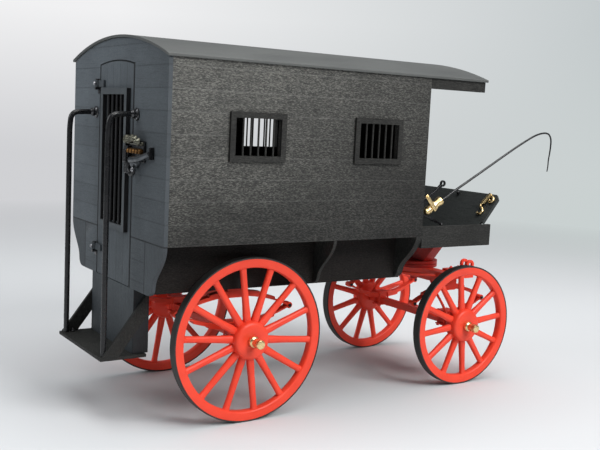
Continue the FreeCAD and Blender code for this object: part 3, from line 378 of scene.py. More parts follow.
def round_the_door(axes):
    """Painted shade in the gap that runs up both sides of the door and over its head."""
    beside = edge_line(axes[1], DOOR_HALF, 0.0012) + edge_line(axes[1], -DOOR_HALF, 0.0016)
    rise = axes[2] - (DOOR_TOP - ARCH_RADIUS)
    arm = rise.math("POWER", rise * rise + axes[1] * axes[1], 0.5)
    over = edge_line(arm, ARCH_RADIUS, 0.0007)
    within = axes[1].add("Math", {"operation": "COMPARE"}, {0: axes[1], 1: 0.0, 2: DOOR_HALF})
    below = arm.math("LESS_THAN", arm, ARCH_RADIUS + JOINT)
    return (beside * below + over * within).between(0.0, 1.0, 0.0, 0.85)


def round_the_ogees(axes):
    """Painted shade in the joint round the boards let in at the rear panel's lower corners."""
    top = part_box("rear_wings")[1].z
    sides = edge_line(axes[1], WING_INSIDE, JOINT) + edge_line(axes[1], -WING_INSIDE, JOINT)
    below = axes[2].math("LESS_THAN", axes[2], top)
    return (sides * below + edge_line(axes[2], top, JOINT)).between(0.0, 1.0, 0.0, 0.7)


PLANK = 0.01245
THIN_PLANK = 0.002
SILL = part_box("side_panel_right")[0].z
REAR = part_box("rear_panel")[0].x
# The side's light mask is painted light and sheen, greyer high up and towards the rear.
side_black = boards(
    "side_boards", "X", BLACK, BLACK_GLINT, 0.58, PLANK, SILL, sheen=0.26, light=painted_sheen_by_height,
    seam_tone=0.9,
)
black_long = boards("black_long_boards", "X", BLACK, BLACK_GLINT, 0.22, sheen=0.2)
black_cross = boards("black_cross_boards", "Y", BLACK, BLACK_GLINT, 0.20, sheen=0.2)
black_upright = boards("black_upright_boards", "Z", BLACK, BLACK_GLINT, 0.20, sheen=0.2)
# A darker copy of the black boards for the well and the cell under the body: painted shade.
shaded_long = boards("shaded_long_boards", "X", BLACK_IN_SHADE, GLINT_IN_SHADE, 0.5, sheen=0.12)
shaded_cross = boards("shaded_cross_boards", "Y", BLACK_IN_SHADE, GLINT_IN_SHADE, 0.4, sheen=0.12)
# The rear planks' light mask is painted light; the other mask is painted shade in the door's gap and
# the ogee joints.
slate_cross = boards(
    "slate_cross_boards", "Y", SLATE, SLATE_GLINT, 0.25, PLANK, SILL,
    light=painted_light_above, painted_gap_shade=lambda axes: round_the_door(axes) + round_the_ogees(axes), pore=0.80,
)
# The door's slate has painted light paler above, and painted shade in its gap.
slate_upright = boards(
    "slate_upright_boards", "Z", SLATE, SLATE_GLINT, 0.25, 0.0107, -0.0267,
    light=painted_light_above, painted_gap_shade=round_the_door, pore=0.70,
)
# Painted shade in the joint round the ogee boards.
slate_ogees = boards(
    "slate_ogees", "Z", SLATE, SLATE_GLINT, 0.25, painted_gap_shade=round_the_ogees, pore=0.70,
)

home = {}
for body, members in frame["record"]["behaviour"]["bodies"].items():
    home.update({member: body for member in members})


def round_over(piece, ease, segments=2, limit=30):
    """Ease a piece's sharp edges, and shade it smooth apart from them."""
    bevel = piece.modifiers.new("Eased", "BEVEL")
    bevel.width = ease
    bevel.segments = segments
    bevel.limit_method = "ANGLE"
    bevel.angle_limit = math.radians(limit)
    apply_all(piece)
    bpy.ops.object.shade_smooth_by_angle(angle=math.radians(40))
    level = piece.modifiers.new("Flat faces", "WEIGHTED_NORMAL")
    level.keep_sharp = True
    apply_all(piece)
    return piece


def fixed_on(piece, material, body):
    """Paint a piece, and fix it to the body that it moves with."""
    dress(piece, material)
    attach(piece, body)
    return piece


def joined(name, *pieces):
    """Several meshes made into one piece of this name."""
    whole = select(*pieces)
    if len(pieces) > 1:
        bpy.ops.object.join()
    whole.name = whole.data.name = name
    return whole


def eased(node, name, material, ease, cuts=(), axis=2, segments=2):
    """A board taken from its CAD solid, sawn into planks at the cuts, its edges eased."""
    planks = []
    levels = [None, *cuts, None]
    for low, high in zip(levels, levels[1:]):
        plank = bpy.data.objects.new(name, frame["nodes"][node].data.copy())
        bpy.context.scene.collection.objects.link(plank)
        select(plank)
        bpy.ops.object.mode_set(mode="EDIT")
        bpy.ops.mesh.select_all(action="SELECT")
        bpy.ops.mesh.remove_doubles(threshold=1e-6)
        bpy.ops.mesh.dissolve_limited(angle_limit=math.radians(0.5))
        for level, above in ((low, True), (high, False)):
            if level is None:
                continue
            bpy.ops.mesh.select_all(action="SELECT")
            point, facing = [0, 0, 0], [0, 0, 0]
            point[axis], facing[axis] = level, 1
            bpy.ops.mesh.bisect(
                plane_co=point,
                plane_no=facing,
                use_fill=True,
                clear_inner=above,
                clear_outer=not above,
            )
        bpy.ops.object.mode_set(mode="OBJECT")
        planks.append(plank)
    whole = joined(name, *planks)
    round_over(whole, ease, segments)
    fixed_on(whole, material, home[node])
    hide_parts(node)
    return whole


def plank_seams(node):
    """The heights of the seams between a panel's planks."""
    low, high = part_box(node)
    count = math.floor((high.z - SILL) / PLANK)
    first = math.ceil((low.z - SILL) / PLANK)
    levels = [SILL + number * PLANK for number in range(first, count + 1)]
    return [level for level in levels if low.z + THIN_PLANK < level < high.z - THIN_PLANK]


# ---- Side panels and their barred windows -----------------------------------------------------
# Each side is nailed up from horizontal planks, with two window openings cut through them. A
# barred frame is fixed on the outside of each window.

for side in ("right", "left"):
    seams = plank_seams(f"side_panel_{side}")
    eased(f"side_panel_{side}", f"side_planks_{side}", side_black, 0.00010, seams)
    eased(f"window_grilles_{side}", f"window_frames_{side}", black_long, 0.00022)

# ---- Rear panel -----------------------------------------------------------------------------
# The rear panel is horizontal planks round the doorway, in slate over black, with separate
# ogee boards let in at its lower corners and more of them under the side panels.

eased("rear_panel", "rear_planks", slate_cross, 0.00008, plank_seams("rear_panel"))
OGEE = [
    (0.0480, 0.1114), (0.0732, 0.1114), (0.0731, 0.1092), (0.0725, 0.1068), (0.0713, 0.1042),
    (0.0695, 0.1014), (0.0673, 0.0986), (0.0650, 0.0960), (0.0628, 0.0936), (0.0610, 0.0912),
    (0.0598, 0.0888), (0.0592, 0.0864), (0.0590, 0.0848), (0.0584, 0.0834), (0.0570, 0.0820),
    (0.0552, 0.0811), (0.0534, 0.0808), (0.0480, 0.0808),
]


def ogee_boards(node, name, material, shift=0.0):
    """A pair of boards sawn to an ogee, mirrored across the wagon, between two cross planes."""
    low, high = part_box(node)
    pair = []
    for side in (-1, 1):
        calm()
        bpy.ops.mesh.primitive_circle_add(vertices=len(OGEE), radius=0.01, fill_type="NGON")
        piece = bpy.context.object
        for point, (y, z) in zip(piece.data.vertices, OGEE):
            inward = 0
            if y > WING_INSIDE + 0.0001:
                inward = shift * (1 - (z - low.z) / (high.z - low.z))
            point.co = (low.x, side * (y - inward), z)
        bpy.ops.object.mode_set(mode="EDIT")
        bpy.ops.mesh.select_all(action="SELECT")
        through = {"value": (high.x - low.x, 0, 0)}
        bpy.ops.mesh.extrude_region_move(TRANSFORM_OT_translate=through)
        bpy.ops.mesh.select_all(action="SELECT")
        bpy.ops.mesh.normals_make_consistent(inside=False)
        bpy.ops.object.mode_set(mode="OBJECT")
        pair.append(round_over(piece, 0.0002, 2, 50))
    boards_made = fixed_on(joined(name, *pair), material, home[node])
    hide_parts(node)


ogee_boards("rear_wings", "rear_ogees", slate_ogees)
ogee_boards("mid_brackets", "mid_ogees", black_upright, 0.003)
ogee_boards("front_brackets", "front_ogees", black_upright, 0.004)

# ---- Lower body, floors and seat ----------------------------------------------------------------
# Plain boards close the well between the axles, and carry the cell's floor and benches. The
# driver sits on a single board between the side panels, in front of the cell's bulkhead.

dash_paint = boards("dash_paint", "Y", (0.027, 0.031, 0.030), BLACK_GLINT, 0.10, sheen=0.3)
# The well and cell boards take the darker black of painted shade.
for node, name, material in (
    ("lower_side_boards", "well_sides", shaded_long),
    ("cabin_floor", "well_floor", shaded_long),
    ("bench_boards", "cell_benches", shaded_long),
    ("lower_front_board", "well_front", shaded_cross),
    ("cabin_bulkhead", "cell_bulkhead", shaded_cross),
    ("driver_seat", "seat_plank", black_cross),
    ("seat_riser", "seat_front", black_cross),
    ("toe_side_boards", "footwell_sides", black_long),
    ("toe_floor", "footwell_floor", dash_paint),
    ("dash_board", "dash_panel", dash_paint),
    ("canopy_header_rails", "canopy_rails", black_long),
    ("canopy_front_bow", "canopy_bow", black_cross),
):
    eased(node, name, material, 0.0002)

# ---- Roof -----------------------------------------------------------------------------------
# The roof is one smooth vaulted sheet in dark grey paint, thin at its edges, that runs on
# over the driver. It is rubbed down, so that only faint brush marks show.

shade = blank("roof_paint")
cloud = shade.noise(shade.stretched((0.2, 0.4, 0), (20, 45, 45)), 1.0, 4.0, 0.6)
fine = shade.noise(shade.stretched((0, 0, 0), (1, 1, 1)), 1400.0, 3.0, 0.6)
drag = shade.noise(shade.stretched((0, 0, 0), (60, 1100, 1100)), 1.0, 3.0, 0.6)
tint = shade.mix(cloud.between(0.3, 0.7), (0.066, 0.069, 0.067), (0.084, 0.088, 0.084))
tint = shade.mix(fine.between(0.55, 0.75) * 0.25, tint, (0.10, 0.10, 0.095))
roof_rough = cloud.between(0.3, 0.7, 0.44, 0.58)
roof_paint = finish("roof_paint", tint, roof_rough, [(fine, 0.12, 0.00006), (drag, 0.12, 0.00008)])
eased("roof", "roof_sheet", roof_paint, 0.0003)

# ---- Rear door --------------------------------------------------------------------------------
# The door is five upright planks with an arched head. A square iron frame with four round
# bars stands proud over its tall opening.

low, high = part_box("rear_door")
DOOR_PLANKS = 5
DOOR_PLANK = (high.y - low.y) / DOOR_PLANKS
door_seams = [low.y + DOOR_PLANK * number for number in range(1, DOOR_PLANKS)]
eased("rear_door", "door_planks", slate_upright, 0.00009, door_seams, axis=1)

shade = blank("grille_paint")
spot = shade.add("TexCoord", output="Object")
along = shade.add("SeparateXYZ", None, {0: spot}, output=1)
up = shade.add("SeparateXYZ", None, {0: spot}, output=2)
low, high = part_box("door_grille")
RIM = 0.0037
inside = along.math("GREATER_THAN", along, low.y + RIM)
inside = inside * along.math("LESS_THAN", along, high.y - RIM)
inside = inside * up.math("GREATER_THAN", up, low.z + RIM) * up.math("LESS_THAN", up, high.z - RIM)
side_face = along.math("LESS_THAN", along, low.y + 0.0002)
inside = along.math("MAXIMUM", inside, side_face)
cloud = shade.noise(spot, 160.0, 3.0)
fine = shade.noise(spot, 2200.0, 3.0)
frame_tone = shade.mix(cloud.between(0.3, 0.7), (0.056, 0.064, 0.070), (0.070, 0.079, 0.085))
frame_tone = shade.mix(inside, frame_tone, (0.012, 0.012, 0.013))
grille_paint = finish(
    "grille_paint", frame_tone, 0.56 - inside * 0.1,
    [(fine, 0.12, 0.00005), (cloud, 0.1, 0.0001)], Specular_IOR_Level=0.3,
)
eased("door_grille", "door_bars", grille_paint, 0.00025)

# ---- Iron and castings --------------------------------------------------------------------------
# The rails, hinges, latch and brake lever are wire and small castings in glossy black enamel,
# which is rubbed a little on its high places.

shade = blank("black_enamel")
spot = shade.add("TexCoord", output="Object")
cloud = shade.noise(spot, 220.0, 4.0, 0.6)
fine = shade.noise(spot, 2600.0, 2.0)
enamel_tone = shade.mix(cloud.between(0.35, 0.7), (0.006, 0.006, 0.007), (0.012, 0.012, 0.013))
enamel_tone = shade.mix(fine.between(0.66, 0.8) * 0.2, enamel_tone, (0.05, 0.05, 0.048))
black_enamel = finish(
    "black_enamel", enamel_tone, cloud.between(0.3, 0.7, 0.22, 0.34), [(fine, 0.06, 0.00003)],
    Specular_IOR_Level=0.4,
)


def metal(name, colour, dull, rough, tarnish):
    """A cast and polished metal: bright where it is rubbed, dull in patches."""
    shade = blank(name)
    spot = shade.add("TexCoord", output="Object")
    cloud = shade.noise(spot, 420.0, 4.0, 0.6)
    fine = shade.noise(spot, 3000.0, 3.0, 0.6)
    tone = shade.mix(cloud.between(0.45, 0.75) * tarnish, colour, dull)
    tone = shade.mix(fine.between(0.5, 0.8) * 0.25, tone, dull)
    roughness = cloud.between(0.3, 0.75, rough * 0.8, rough * 1.5)
    return finish(name, tone, roughness, [(fine, 0.18, 0.00006)], Metallic=1.0)


brass = metal("polished_brass", (0.86, 0.66, 0.34), (0.50, 0.33, 0.13), 0.26, 0.55)
pewter = metal("pewter", (0.17, 0.166, 0.13), (0.03, 0.03, 0.024), 0.32, 0.9)
bronze = metal("brown_bronze", (0.27, 0.135, 0.045), (0.06, 0.035, 0.02), 0.42, 0.9)
steel = metal("bright_steel", (0.42, 0.42, 0.44), (0.10, 0.10, 0.105), 0.24, 0.7)
dark_steel = metal("dark_steel", (0.085, 0.085, 0.088), (0.022, 0.022, 0.023), 0.26, 0.7)


def turned(name, profile, sides=32, closed=False):
    """Turn a piece on an upright axis: rings of (height, radius) extruded one by one."""
    calm()
    height, radius = profile[0]
    bpy.ops.mesh.primitive_circle_add(
        vertices=sides,
        radius=radius,
        fill_type="NOTHING" if closed else "NGON",
        location=(0, 0, height),
    )
    piece = bpy.context.object
    piece.name = name
    bpy.ops.object.mode_set(mode="EDIT")
    bpy.ops.mesh.select_all(action="SELECT")
    path = [*profile, profile[0]] if closed else profile
    for (low, small), (high, large) in zip(path, path[1:]):
        rise = {"value": (0, 0, high - low)}
        bpy.ops.mesh.extrude_region_move(TRANSFORM_OT_translate=rise)
        grow = large / small
        bpy.ops.transform.resize(value=(grow, grow, 1), center_override=(0, 0, high))
    bpy.ops.mesh.select_all(action="SELECT")
    bpy.ops.mesh.remove_doubles(threshold=1e-7)
    bpy.ops.mesh.normals_make_consistent(inside=False)
    bpy.ops.object.mode_set(mode="OBJECT")
    apply_all(piece)
    bpy.ops.object.shade_smooth_by_angle(angle=math.radians(35))
    return piece


def block(name, low, high, ease, segments=2):
    """A small rectangular casting or bar between two corners, with eased edges."""
    calm()
    middle = [(a + b) / 2 for a, b in zip(low, high)]
    bpy.ops.mesh.primitive_cube_add(size=1, location=middle)
    piece = bpy.context.object
    piece.name = name
    piece.scale = [b - a for a, b in zip(low, high)]
    apply_all(piece)
    return round_over(piece, ease, segments)


def wire(name, points, radius, thin=1.0, sides=3):
    """A bent rod: a smooth line through its points, thickened, thinning to its far end."""
    calm()
    bpy.ops.curve.primitive_nurbs_path_add(location=(0, 0, 0))
    piece = bpy.context.object
    piece.name = name
    piece.data.splines.clear()
    spline = piece.data.splines.new("NURBS")
    spline.points.add(len(points) - 1)
    for number, point in enumerate(points):
        spline.points[number].co = (*point, 1)
        spline.points[number].radius = 1 + (thin - 1) * number / (len(points) - 1)
    spline.order_u = 3
    spline.use_endpoint_u = True
    spline.resolution_u = 8
    piece.data.bevel_depth = radius
    piece.data.bevel_resolution = sides
    piece.data.use_fill_caps = True
    bpy.ops.object.convert(target="MESH")
    piece = bpy.context.object
    bpy.ops.object.mode_set(mode="EDIT")
    bpy.ops.mesh.select_all(action="SELECT")
    bpy.ops.mesh.remove_doubles(threshold=1e-7)
    bpy.ops.mesh.normals_make_consistent(inside=False)
    bpy.ops.object.mode_set(mode="OBJECT")
    apply_all(piece)
    bpy.ops.object.shade_smooth_by_angle(angle=math.radians(50))
    return piece


FACING = {
    "+Z": Matrix.Identity(4),
    "-X": Matrix.Rotation(-math.pi / 2, 4, "Y"),
    "-Y": Matrix.Rotation(math.pi / 2, 4, "X"),
    "+Y": Matrix.Rotation(-math.pi / 2, 4, "X"),
}


def at(point, facing="+Z"):
    """The place of a turned piece: its foot at a point, its axis facing one way."""
    return Matrix.Translation(point) @ FACING[facing]


def repeat(name, pattern, places, last=True):
    """One piece made of copies of a pattern, each in its place. The last use removes it."""
    copies = []
    for place in places:
        copy = bpy.data.objects.new(name, pattern.data.copy())
        bpy.context.scene.collection.objects.link(copy)
        copy.data.transform(place)
        copies.append(copy)
    if last:
        bpy.data.objects.remove(pattern)
    return joined(name, *copies)


# ---- Grab rails -----------------------------------------------------------------------------
# Two rods stand on the step and bend forward to the rear panel. Each ends there in a dark
# flange with a bright turned collar, and is pinned to the step through a small foot.

low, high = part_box("grab_rail_right")
RAIL_Y = (low.y + high.y) / 2
RAIL_TOP = high.z - 0.0032
RAIL_X = low.x + 0.0017
RAIL_RADIUS = 0.00168
COLLAR_SCREWS = 4
SCREW_CIRCLE = 0.0029
for side, y in (("right", RAIL_Y), ("left", -RAIL_Y)):
    rail = wire(f"rail_{side}", [
        (REAR, y, RAIL_TOP), (REAR - 0.0040, y, RAIL_TOP), (REAR - 0.0072, y, RAIL_TOP),
        (RAIL_X + 0.0010, y, RAIL_TOP - 0.0006), (RAIL_X, y, RAIL_TOP - 0.0100),
        (RAIL_X, y, RAIL_TOP - 0.0160), (RAIL_X, y, 0.12), (RAIL_X, y, 0.08), (RAIL_X, y, low.z),
    ], RAIL_RADIUS, 1.0, 5)
    fixed_on(rail, black_enamel, "wagon")
    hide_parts(f"grab_rail_{side}")
collar = turned("collar", [
    (0, 0.0036), (0.0006, 0.0037), (0.0011, 0.0034), (0.0014, 0.0026), (0.0020, 0.0024),
    (0.0028, 0.0026), (0.0034, 0.0024), (0.0039, 0.0019), (0.0043, 0.0018),
], 32)
screw = turned("screw", [(0.0008, 0.0006), (0.0013, 0.0006), (0.0016, 0.0003)], 10)
around = [
    Matrix.Rotation(math.pi * (n + 0.5) / 2, 4, "Z") @ Matrix.Translation((SCREW_CIRCLE, 0, 0))
    for n in range(COLLAR_SCREWS)
]
screws = repeat("screws", screw, around)
sides_y = (RAIL_Y, -RAIL_Y)
places = [at((REAR, y, RAIL_TOP), "-X") for y in sides_y]
fixed_on(repeat("rail_collars", collar, places), dark_steel, "wagon")
fixed_on(repeat("collar_screws", screws, places), steel, "wagon")
step_low, step_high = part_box("step_board")
boss = turned("boss", [
    (0, 0.0016), (0.0007, 0.0016), (0.0010, 0.0013), (0.0010, 0.0009), (0.0018, 0.0008),
    (0.0021, 0.0004),
], 16)
spots = [at((step_low.x + 0.0075, y, step_high.z)) for y in sides_y]
fixed_on(repeat("step_bolts", boss, spots), black_enamel, "wagon")

# ---- Step -----------------------------------------------------------------------------------
# A slate riser box comes down behind the door to a thin dark platform, which two flat braces
# hold from its rear corners.

BOX_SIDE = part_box("step_box")[0].y


def painted_shade_low(axes):
    """Painted shade: the slate darkens down to the platform."""
    return axes[2].between(0.042, 0.081, 0.80, 1.0)


def shaded_side(axes):
    """Painted shade: the box's near side, which lies in the wheel's shade."""
    return axes[1].math("LESS_THAN", axes[1], BOX_SIDE + 0.0003) * 0.75


# Painted shade on the step box: darker low down and on its near side.
slate_box = boards(
    "slate_box_boards", "Z", SLATE, SLATE_GLINT, 0.3, light=painted_shade_low, painted_gap_shade=shaded_side,
    pore=0.7,
)
eased("step_box", "step_riser", slate_box, 0.0002)
eased("step_board", "step_platform", black_cross, 0.0002)
eased("step_braces", "step_stays", black_upright, 0.0002)

# ---- Hinges and lock --------------------------------------------------------------------------
# Two pin hinges with bright ball heads carry the door. The lock is a crowd of small castings
# on both sides of the gap: a grip and a cup screwed to the door, and on the panel a plate with
# a knobbed bar, a riveted bronze band, a handle, the handle's stop and a hook.

eased("door_straps", "hinge_straps", slate_box, 0.00015)
eased("hinge_pintles", "hinge_pins", dark_steel, 0.0003)
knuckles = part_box("door_straps")
HINGE_X = REAR - 0.0030
HINGE_Y = knuckles[1].y - 0.0013
ball = turned("ball", [
    (0, 0.0006), (0.0003, 0.0009), (0.0009, 0.0011), (0.0015, 0.0009), (0.0018, 0.0004),
], 20)
tops = (knuckles[1].z - 0.0020, knuckles[0].z + 0.0020)
balls = repeat("hinge_balls", ball, [at((HINGE_X + 0.0004, HINGE_Y, z), "-X") for z in tops])
fixed_on(balls, steel, "door")
DOOR_SIDE = -0.0276
PANEL_SIDE = -0.0286
FACE = REAR - 0.0043
knob = turned("clasp_knob", [
    (0, 0.0019), (0.0007, 0.0023), (0.0014, 0.0021), (0.0018, 0.0014), (0.0024, 0.0013),
    (0.0030, 0.0009), (0.0033, 0.0004),
], 18)
grip = block(
    "grip_plate", (FACE + 0.0006, DOOR_SIDE, 0.1488), (REAR, -0.0222, 0.1650), 0.0005, 3,
)
lobe = block(
    "grip_lobe", (FACE - 0.0008, DOOR_SIDE, 0.1550), (FACE + 0.0010, -0.0232, 0.1628), 0.0008, 3,
)
fixed_on(joined("door_grip", grip, lobe), dark_steel, "door")
cup = turned("cup", [
    (0, 0.0027), (0.0026, 0.0027), (0.0034, 0.0022), (0.0037, 0.0012), (0.0031, 0.0009),
], 24)
cups = repeat("door_cup", cup, [at((REAR - 0.0012, -0.0250, 0.1686), "-X")])
fixed_on(cups, pewter, "door")
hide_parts("door_latch")

plate = block(
    "lock_plate", (REAR - 0.0016, -0.0464, 0.1560), (REAR, PANEL_SIDE, 0.1684), 0.0005,
)
fixed_on(plate, dark_steel, "wagon")
bar = block(
    "lock_bar", (FACE + 0.0012, -0.0462, 0.1656), (REAR - 0.0010, PANEL_SIDE, 0.1678), 0.0009, 3,
)
knob_spots = [(-0.0310, 0.1684), (-0.0354, 0.1696), (-0.0400, 0.1692), (-0.0442, 0.1680)]
knobs = repeat("knobs", knob, [at((FACE + 0.0008, y, z), "-X") for y, z in knob_spots])
fixed_on(joined("lock_clasp", bar, knobs), pewter, "wagon")
band = block(
    "lock_band", (FACE + 0.0002, -0.0452, 0.1608), (REAR - 0.0010, PANEL_SIDE, 0.1638), 0.0009, 3,
)
rivet = turned("rivet", [(0, 0.0013), (0.0009, 0.0012), (0.0014, 0.0005)], 14)
rivets = repeat("rivets", rivet, [
    at((FACE + 0.0003, y, 0.1623), "-X") for y in (-0.0308, -0.0348, -0.0388, -0.0428)
])
fixed_on(joined("lock_band", band, rivets), bronze, "wagon")
grey_iron = metal("grey_iron", (0.14, 0.15, 0.16), (0.05, 0.053, 0.056), 0.34, 0.6)
handle = wire("lock_handle", [
    (REAR - 0.0034, -0.0330, 0.1570), (REAR - 0.0038, -0.0420, 0.1578),
    (REAR - 0.0038, -0.0475, 0.1588), (REAR - 0.0030, -0.0525, 0.1604),
    (REAR - 0.0024, -0.0566, 0.1616),
], 0.0021, 0.80, 4)
boss = turned("handle_boss", [
    (0, 0.0034), (0.0030, 0.0034), (0.0040, 0.0028), (0.0044, 0.0016),
], 24)
boss = repeat("handle_boss", boss, [at((REAR, -0.0350, 0.1560), "-X")])
handle = fixed_on(joined("lock_handle", handle, boss), grey_iron, "wagon")
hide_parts("lock_keeper")
stop = block("handle_stop", (REAR - 0.0030, -0.0574, 0.1584), (REAR, -0.0562, 0.1654), 0.0004)
hook = wire("lock_hook", [
    (REAR - 0.0026, -0.0300, 0.1570), (REAR - 0.0034, -0.0292, 0.1516),
    (REAR - 0.0038, -0.0322, 0.1486), (REAR - 0.0038, -0.0370, 0.1486),
    (REAR - 0.0038, -0.0386, 0.1514),
], 0.0011)
fixed_on(joined("lock_ends", stop, hook), black_enamel, "wagon")
drop = turned("lock_ball", [
    (0, 0.0007), (0.0004, 0.0011), (0.0011, 0.0014), (0.0018, 0.0011), (0.0022, 0.0005),
], 20)
drop = repeat("lock_ball", drop, [at((REAR - 0.0038, -0.0386, 0.1518), "-X")])
fixed_on(drop, steel, "wagon")

# ---- Brass on the dash --------------------------------------------------------------------------
# A scroll is bent from brass strip at each end of the leaning dash: a straight bar with a curl
# beside its top and an S tail below. The knob between them is black.

LEAN = math.radians(39.2)
DASH_THICK = 0.002
DASH_DEEP = 0.0402
dash_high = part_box("dash_board")[1]
FOOT_X = dash_high.x - DASH_DEEP * math.sin(LEAN) - DASH_THICK * math.cos(LEAN)
FOOT_Z = dash_high.z - DASH_DEEP * math.cos(LEAN)
SCROLL_PROUD = 0.0011
STUD_UP, STUD_SIDE = 0.0368, 0.0336


def on_dash(slope, y, proud):
    """A point up the dash board's rear face, and proud of it."""
    x = FOOT_X + slope * math.sin(LEAN) - proud * math.cos(LEAN)
    z = FOOT_Z + slope * math.cos(LEAN) + proud * math.sin(LEAN)
    return (x, y, z)


def scroll(name, side):
    """A bar, its curl and its tail, as points up the dash and out from its middle."""
    lines = [
        [(0.0392, 0.0654), (0.0372, 0.0651), (0.0345, 0.0643), (0.0312, 0.0634)],
        [
            (0.0380, 0.0656), (0.0372, 0.0684), (0.0356, 0.0706), (0.0334, 0.0706),
            (0.0326, 0.0688), (0.0340, 0.0676),
        ],
        [
            (0.0316, 0.0634), (0.0298, 0.0620), (0.0280, 0.0630), (0.0264, 0.0658),
            (0.0242, 0.0678), (0.0222, 0.0668), (0.0214, 0.0648), (0.0224, 0.0636),
        ],
    ]
    widths = (0.00165, 0.00100, 0.00095)
    parts = []
    for number, (line, width) in enumerate(zip(lines, widths)):
        points = [on_dash(slope, side * y, SCROLL_PROUD) for slope, y in line]
        parts.append(wire(f"{name}_{number}", points, width))
    return joined(name, *parts)


scrolls = joined("brass_scrolls", scroll("scroll_r", -1), scroll("scroll_l", 1))
fixed_on(scrolls, brass, "wagon")
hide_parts("dash_scrolls")
stud = turned("dash_stud", [
    (0, 0.0012), (0.0008, 0.0013), (0.0016, 0.0012), (0.0021, 0.0007), (0.0022, 0.0003),
], 18)
lean_turn = Matrix.Rotation(LEAN - math.pi / 2, 4, "Y")
stud_places = [
    Matrix.Translation(on_dash(STUD_UP, y, 0)) @ lean_turn for y in (-STUD_SIDE, STUD_SIDE)
]
fixed_on(repeat("dash_studs", stud, stud_places), black_enamel, "wagon")

# ---- Whip, its socket and the brake lever -------------------------------------------------------
# The whip is a tapering stick with a drooping end and a fine lash. It stands in a brass tube
# with a banded middle, on a brass strap. The brake lever is bent black strip, with a ring at
# one end and a ball at the other.

low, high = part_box("whip_socket")
SOCKET_Y = (low.y + high.y) / 2
SOCKET_TURN = Matrix.Rotation(math.radians(57.7), 4, "Y")
tube = turned("socket_tube", [
    (0, 0.0006), (0.0002, 0.0018), (0.0008, 0.0024), (0.0026, 0.0026), (0.0030, 0.0030),
    (0.0040, 0.0030), (0.0044, 0.0026), (0.0124, 0.0027), (0.0136, 0.0031), (0.0150, 0.0032),
    (0.0158, 0.0030), (0.0160, 0.0024), (0.0158, 0.0016), (0.0120, 0.0014),
], 32)
collar = turned("socket_band", [
    (0.0064, 0.0023), (0.0064, 0.0031), (0.0068, 0.0034), (0.0094, 0.0034), (0.0098, 0.0031),
    (0.0098, 0.0023),
], 32, closed=True)
foot = Matrix.Translation((0.0466, SOCKET_Y, 0.1266)) @ SOCKET_TURN
for piece in (tube, collar):
    piece.data.transform(foot)
strap = block("socket_strap", (-0.0014, -0.0006, -0.0040), (0.0014, 0.0006, 0.0098), 0.0004, 3)
lean = Matrix.Rotation(math.radians(-42), 4, "Y")
strap.data.transform(Matrix.Translation((0.0512, SOCKET_Y - 0.0028, 0.1316)) @ lean)
stud = turned("socket_stud", [(0, 0.0010), (0.0007, 0.0010), (0.0011, 0.0006)], 14)
stud.data.transform(at((0.0458, SOCKET_Y - 0.0032, 0.1376), "-Y"))
socket = joined("whip_holder", tube, collar, strap, stud)
fixed_on(socket, brass, "wagon")
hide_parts("whip_socket")
eased("brake_lever", "brake_arm", black_enamel, 0.0003)
low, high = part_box("brake_lever")
end_ball = turned("lever_ball", [
    (0, 0.0006), (0.0003, 0.0011), (0.0010, 0.0014), (0.0017, 0.0011), (0.0020, 0.0006),
], 16)
end_ball.data.transform(at((0.0700, (low.y + high.y) / 2, low.z - 0.0002)))
fixed_on(end_ball, black_enamel, "wagon")
low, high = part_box("whip")
WHIP_Y = (low.y + high.y) / 2
stick = wire("whip_stick", [
    (low.x + 0.0012, WHIP_Y, 0.1291), (0.0660, WHIP_Y, 0.1378), (0.0955, WHIP_Y, 0.1537),
    (0.1240, WHIP_Y, 0.1694), (0.1372, WHIP_Y, 0.1762), (0.1500, WHIP_Y, 0.1822),
    (0.1612, WHIP_Y, 0.1838), (high.x - 0.0008, WHIP_Y, 0.1795),
    (high.x - 0.0009, WHIP_Y, 0.1722), (high.x - 0.0014, WHIP_Y, 0.1680),
    (high.x - 0.0022, WHIP_Y, 0.1632), (high.x - 0.0020, WHIP_Y, 0.1590),
    (high.x - 0.0027, WHIP_Y, 0.1552),
], 0.00088, 0.42, 4)
fixed_on(stick, black_enamel, "wagon")
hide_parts("whip")

# ---- Red enamel -----------------------------------------------------------------------------
# Wheels and running gear are turned and sawn wood and small castings, all brushed with the
# same orange-red enamel. It has a soft gloss, and brush marks show in it. The parts high up
# under the floor get a darker red, which is painted shade.

shade = blank("red_enamel")
spot = shade.add("TexCoord", output="Object")
cloud = shade.noise(spot, 60.0, 3.0, 0.55)
fine = shade.noise(spot, 1500.0, 3.0, 0.6)
brush = shade.noise(shade.stretched((0, 0, 0), (420, 700, 420)), 1.0, 3.0, 0.6)
red = shade.mix(cloud.between(0.3, 0.7), (0.78, 0.050, 0.022), (0.86, 0.066, 0.031))
red = shade.mix(fine.between(0.55, 0.8) * 0.22, red, (0.60, 0.035, 0.018))
red_rough = cloud.between(0.3, 0.7, 0.34, 0.46)
red_enamel = finish(
    "red_enamel", red, red_rough, [(fine, 0.10, 0.00007), (brush, 0.16, 0.00014)],
    Specular_IOR_Level=0.35,
)

# A darker copy of the red enamel for the gear up under the floor: painted shade.
shade = blank("shaded_red")
spot = shade.add("TexCoord", output="Object")
cloud = shade.noise(spot, 60.0, 3.0, 0.55)
fine = shade.noise(spot, 1500.0, 3.0, 0.6)
red = shade.mix(cloud.between(0.3, 0.7), (0.30, 0.012, 0.008), (0.40, 0.020, 0.012))
red = shade.mix(fine.between(0.55, 0.8) * 0.3, red, (0.20, 0.008, 0.006))
shaded_red = finish(
    "shaded_red", red, cloud.between(0.3, 0.7, 0.38, 0.50), [(fine, 0.12, 0.00007)],
    Specular_IOR_Level=0.3,
)

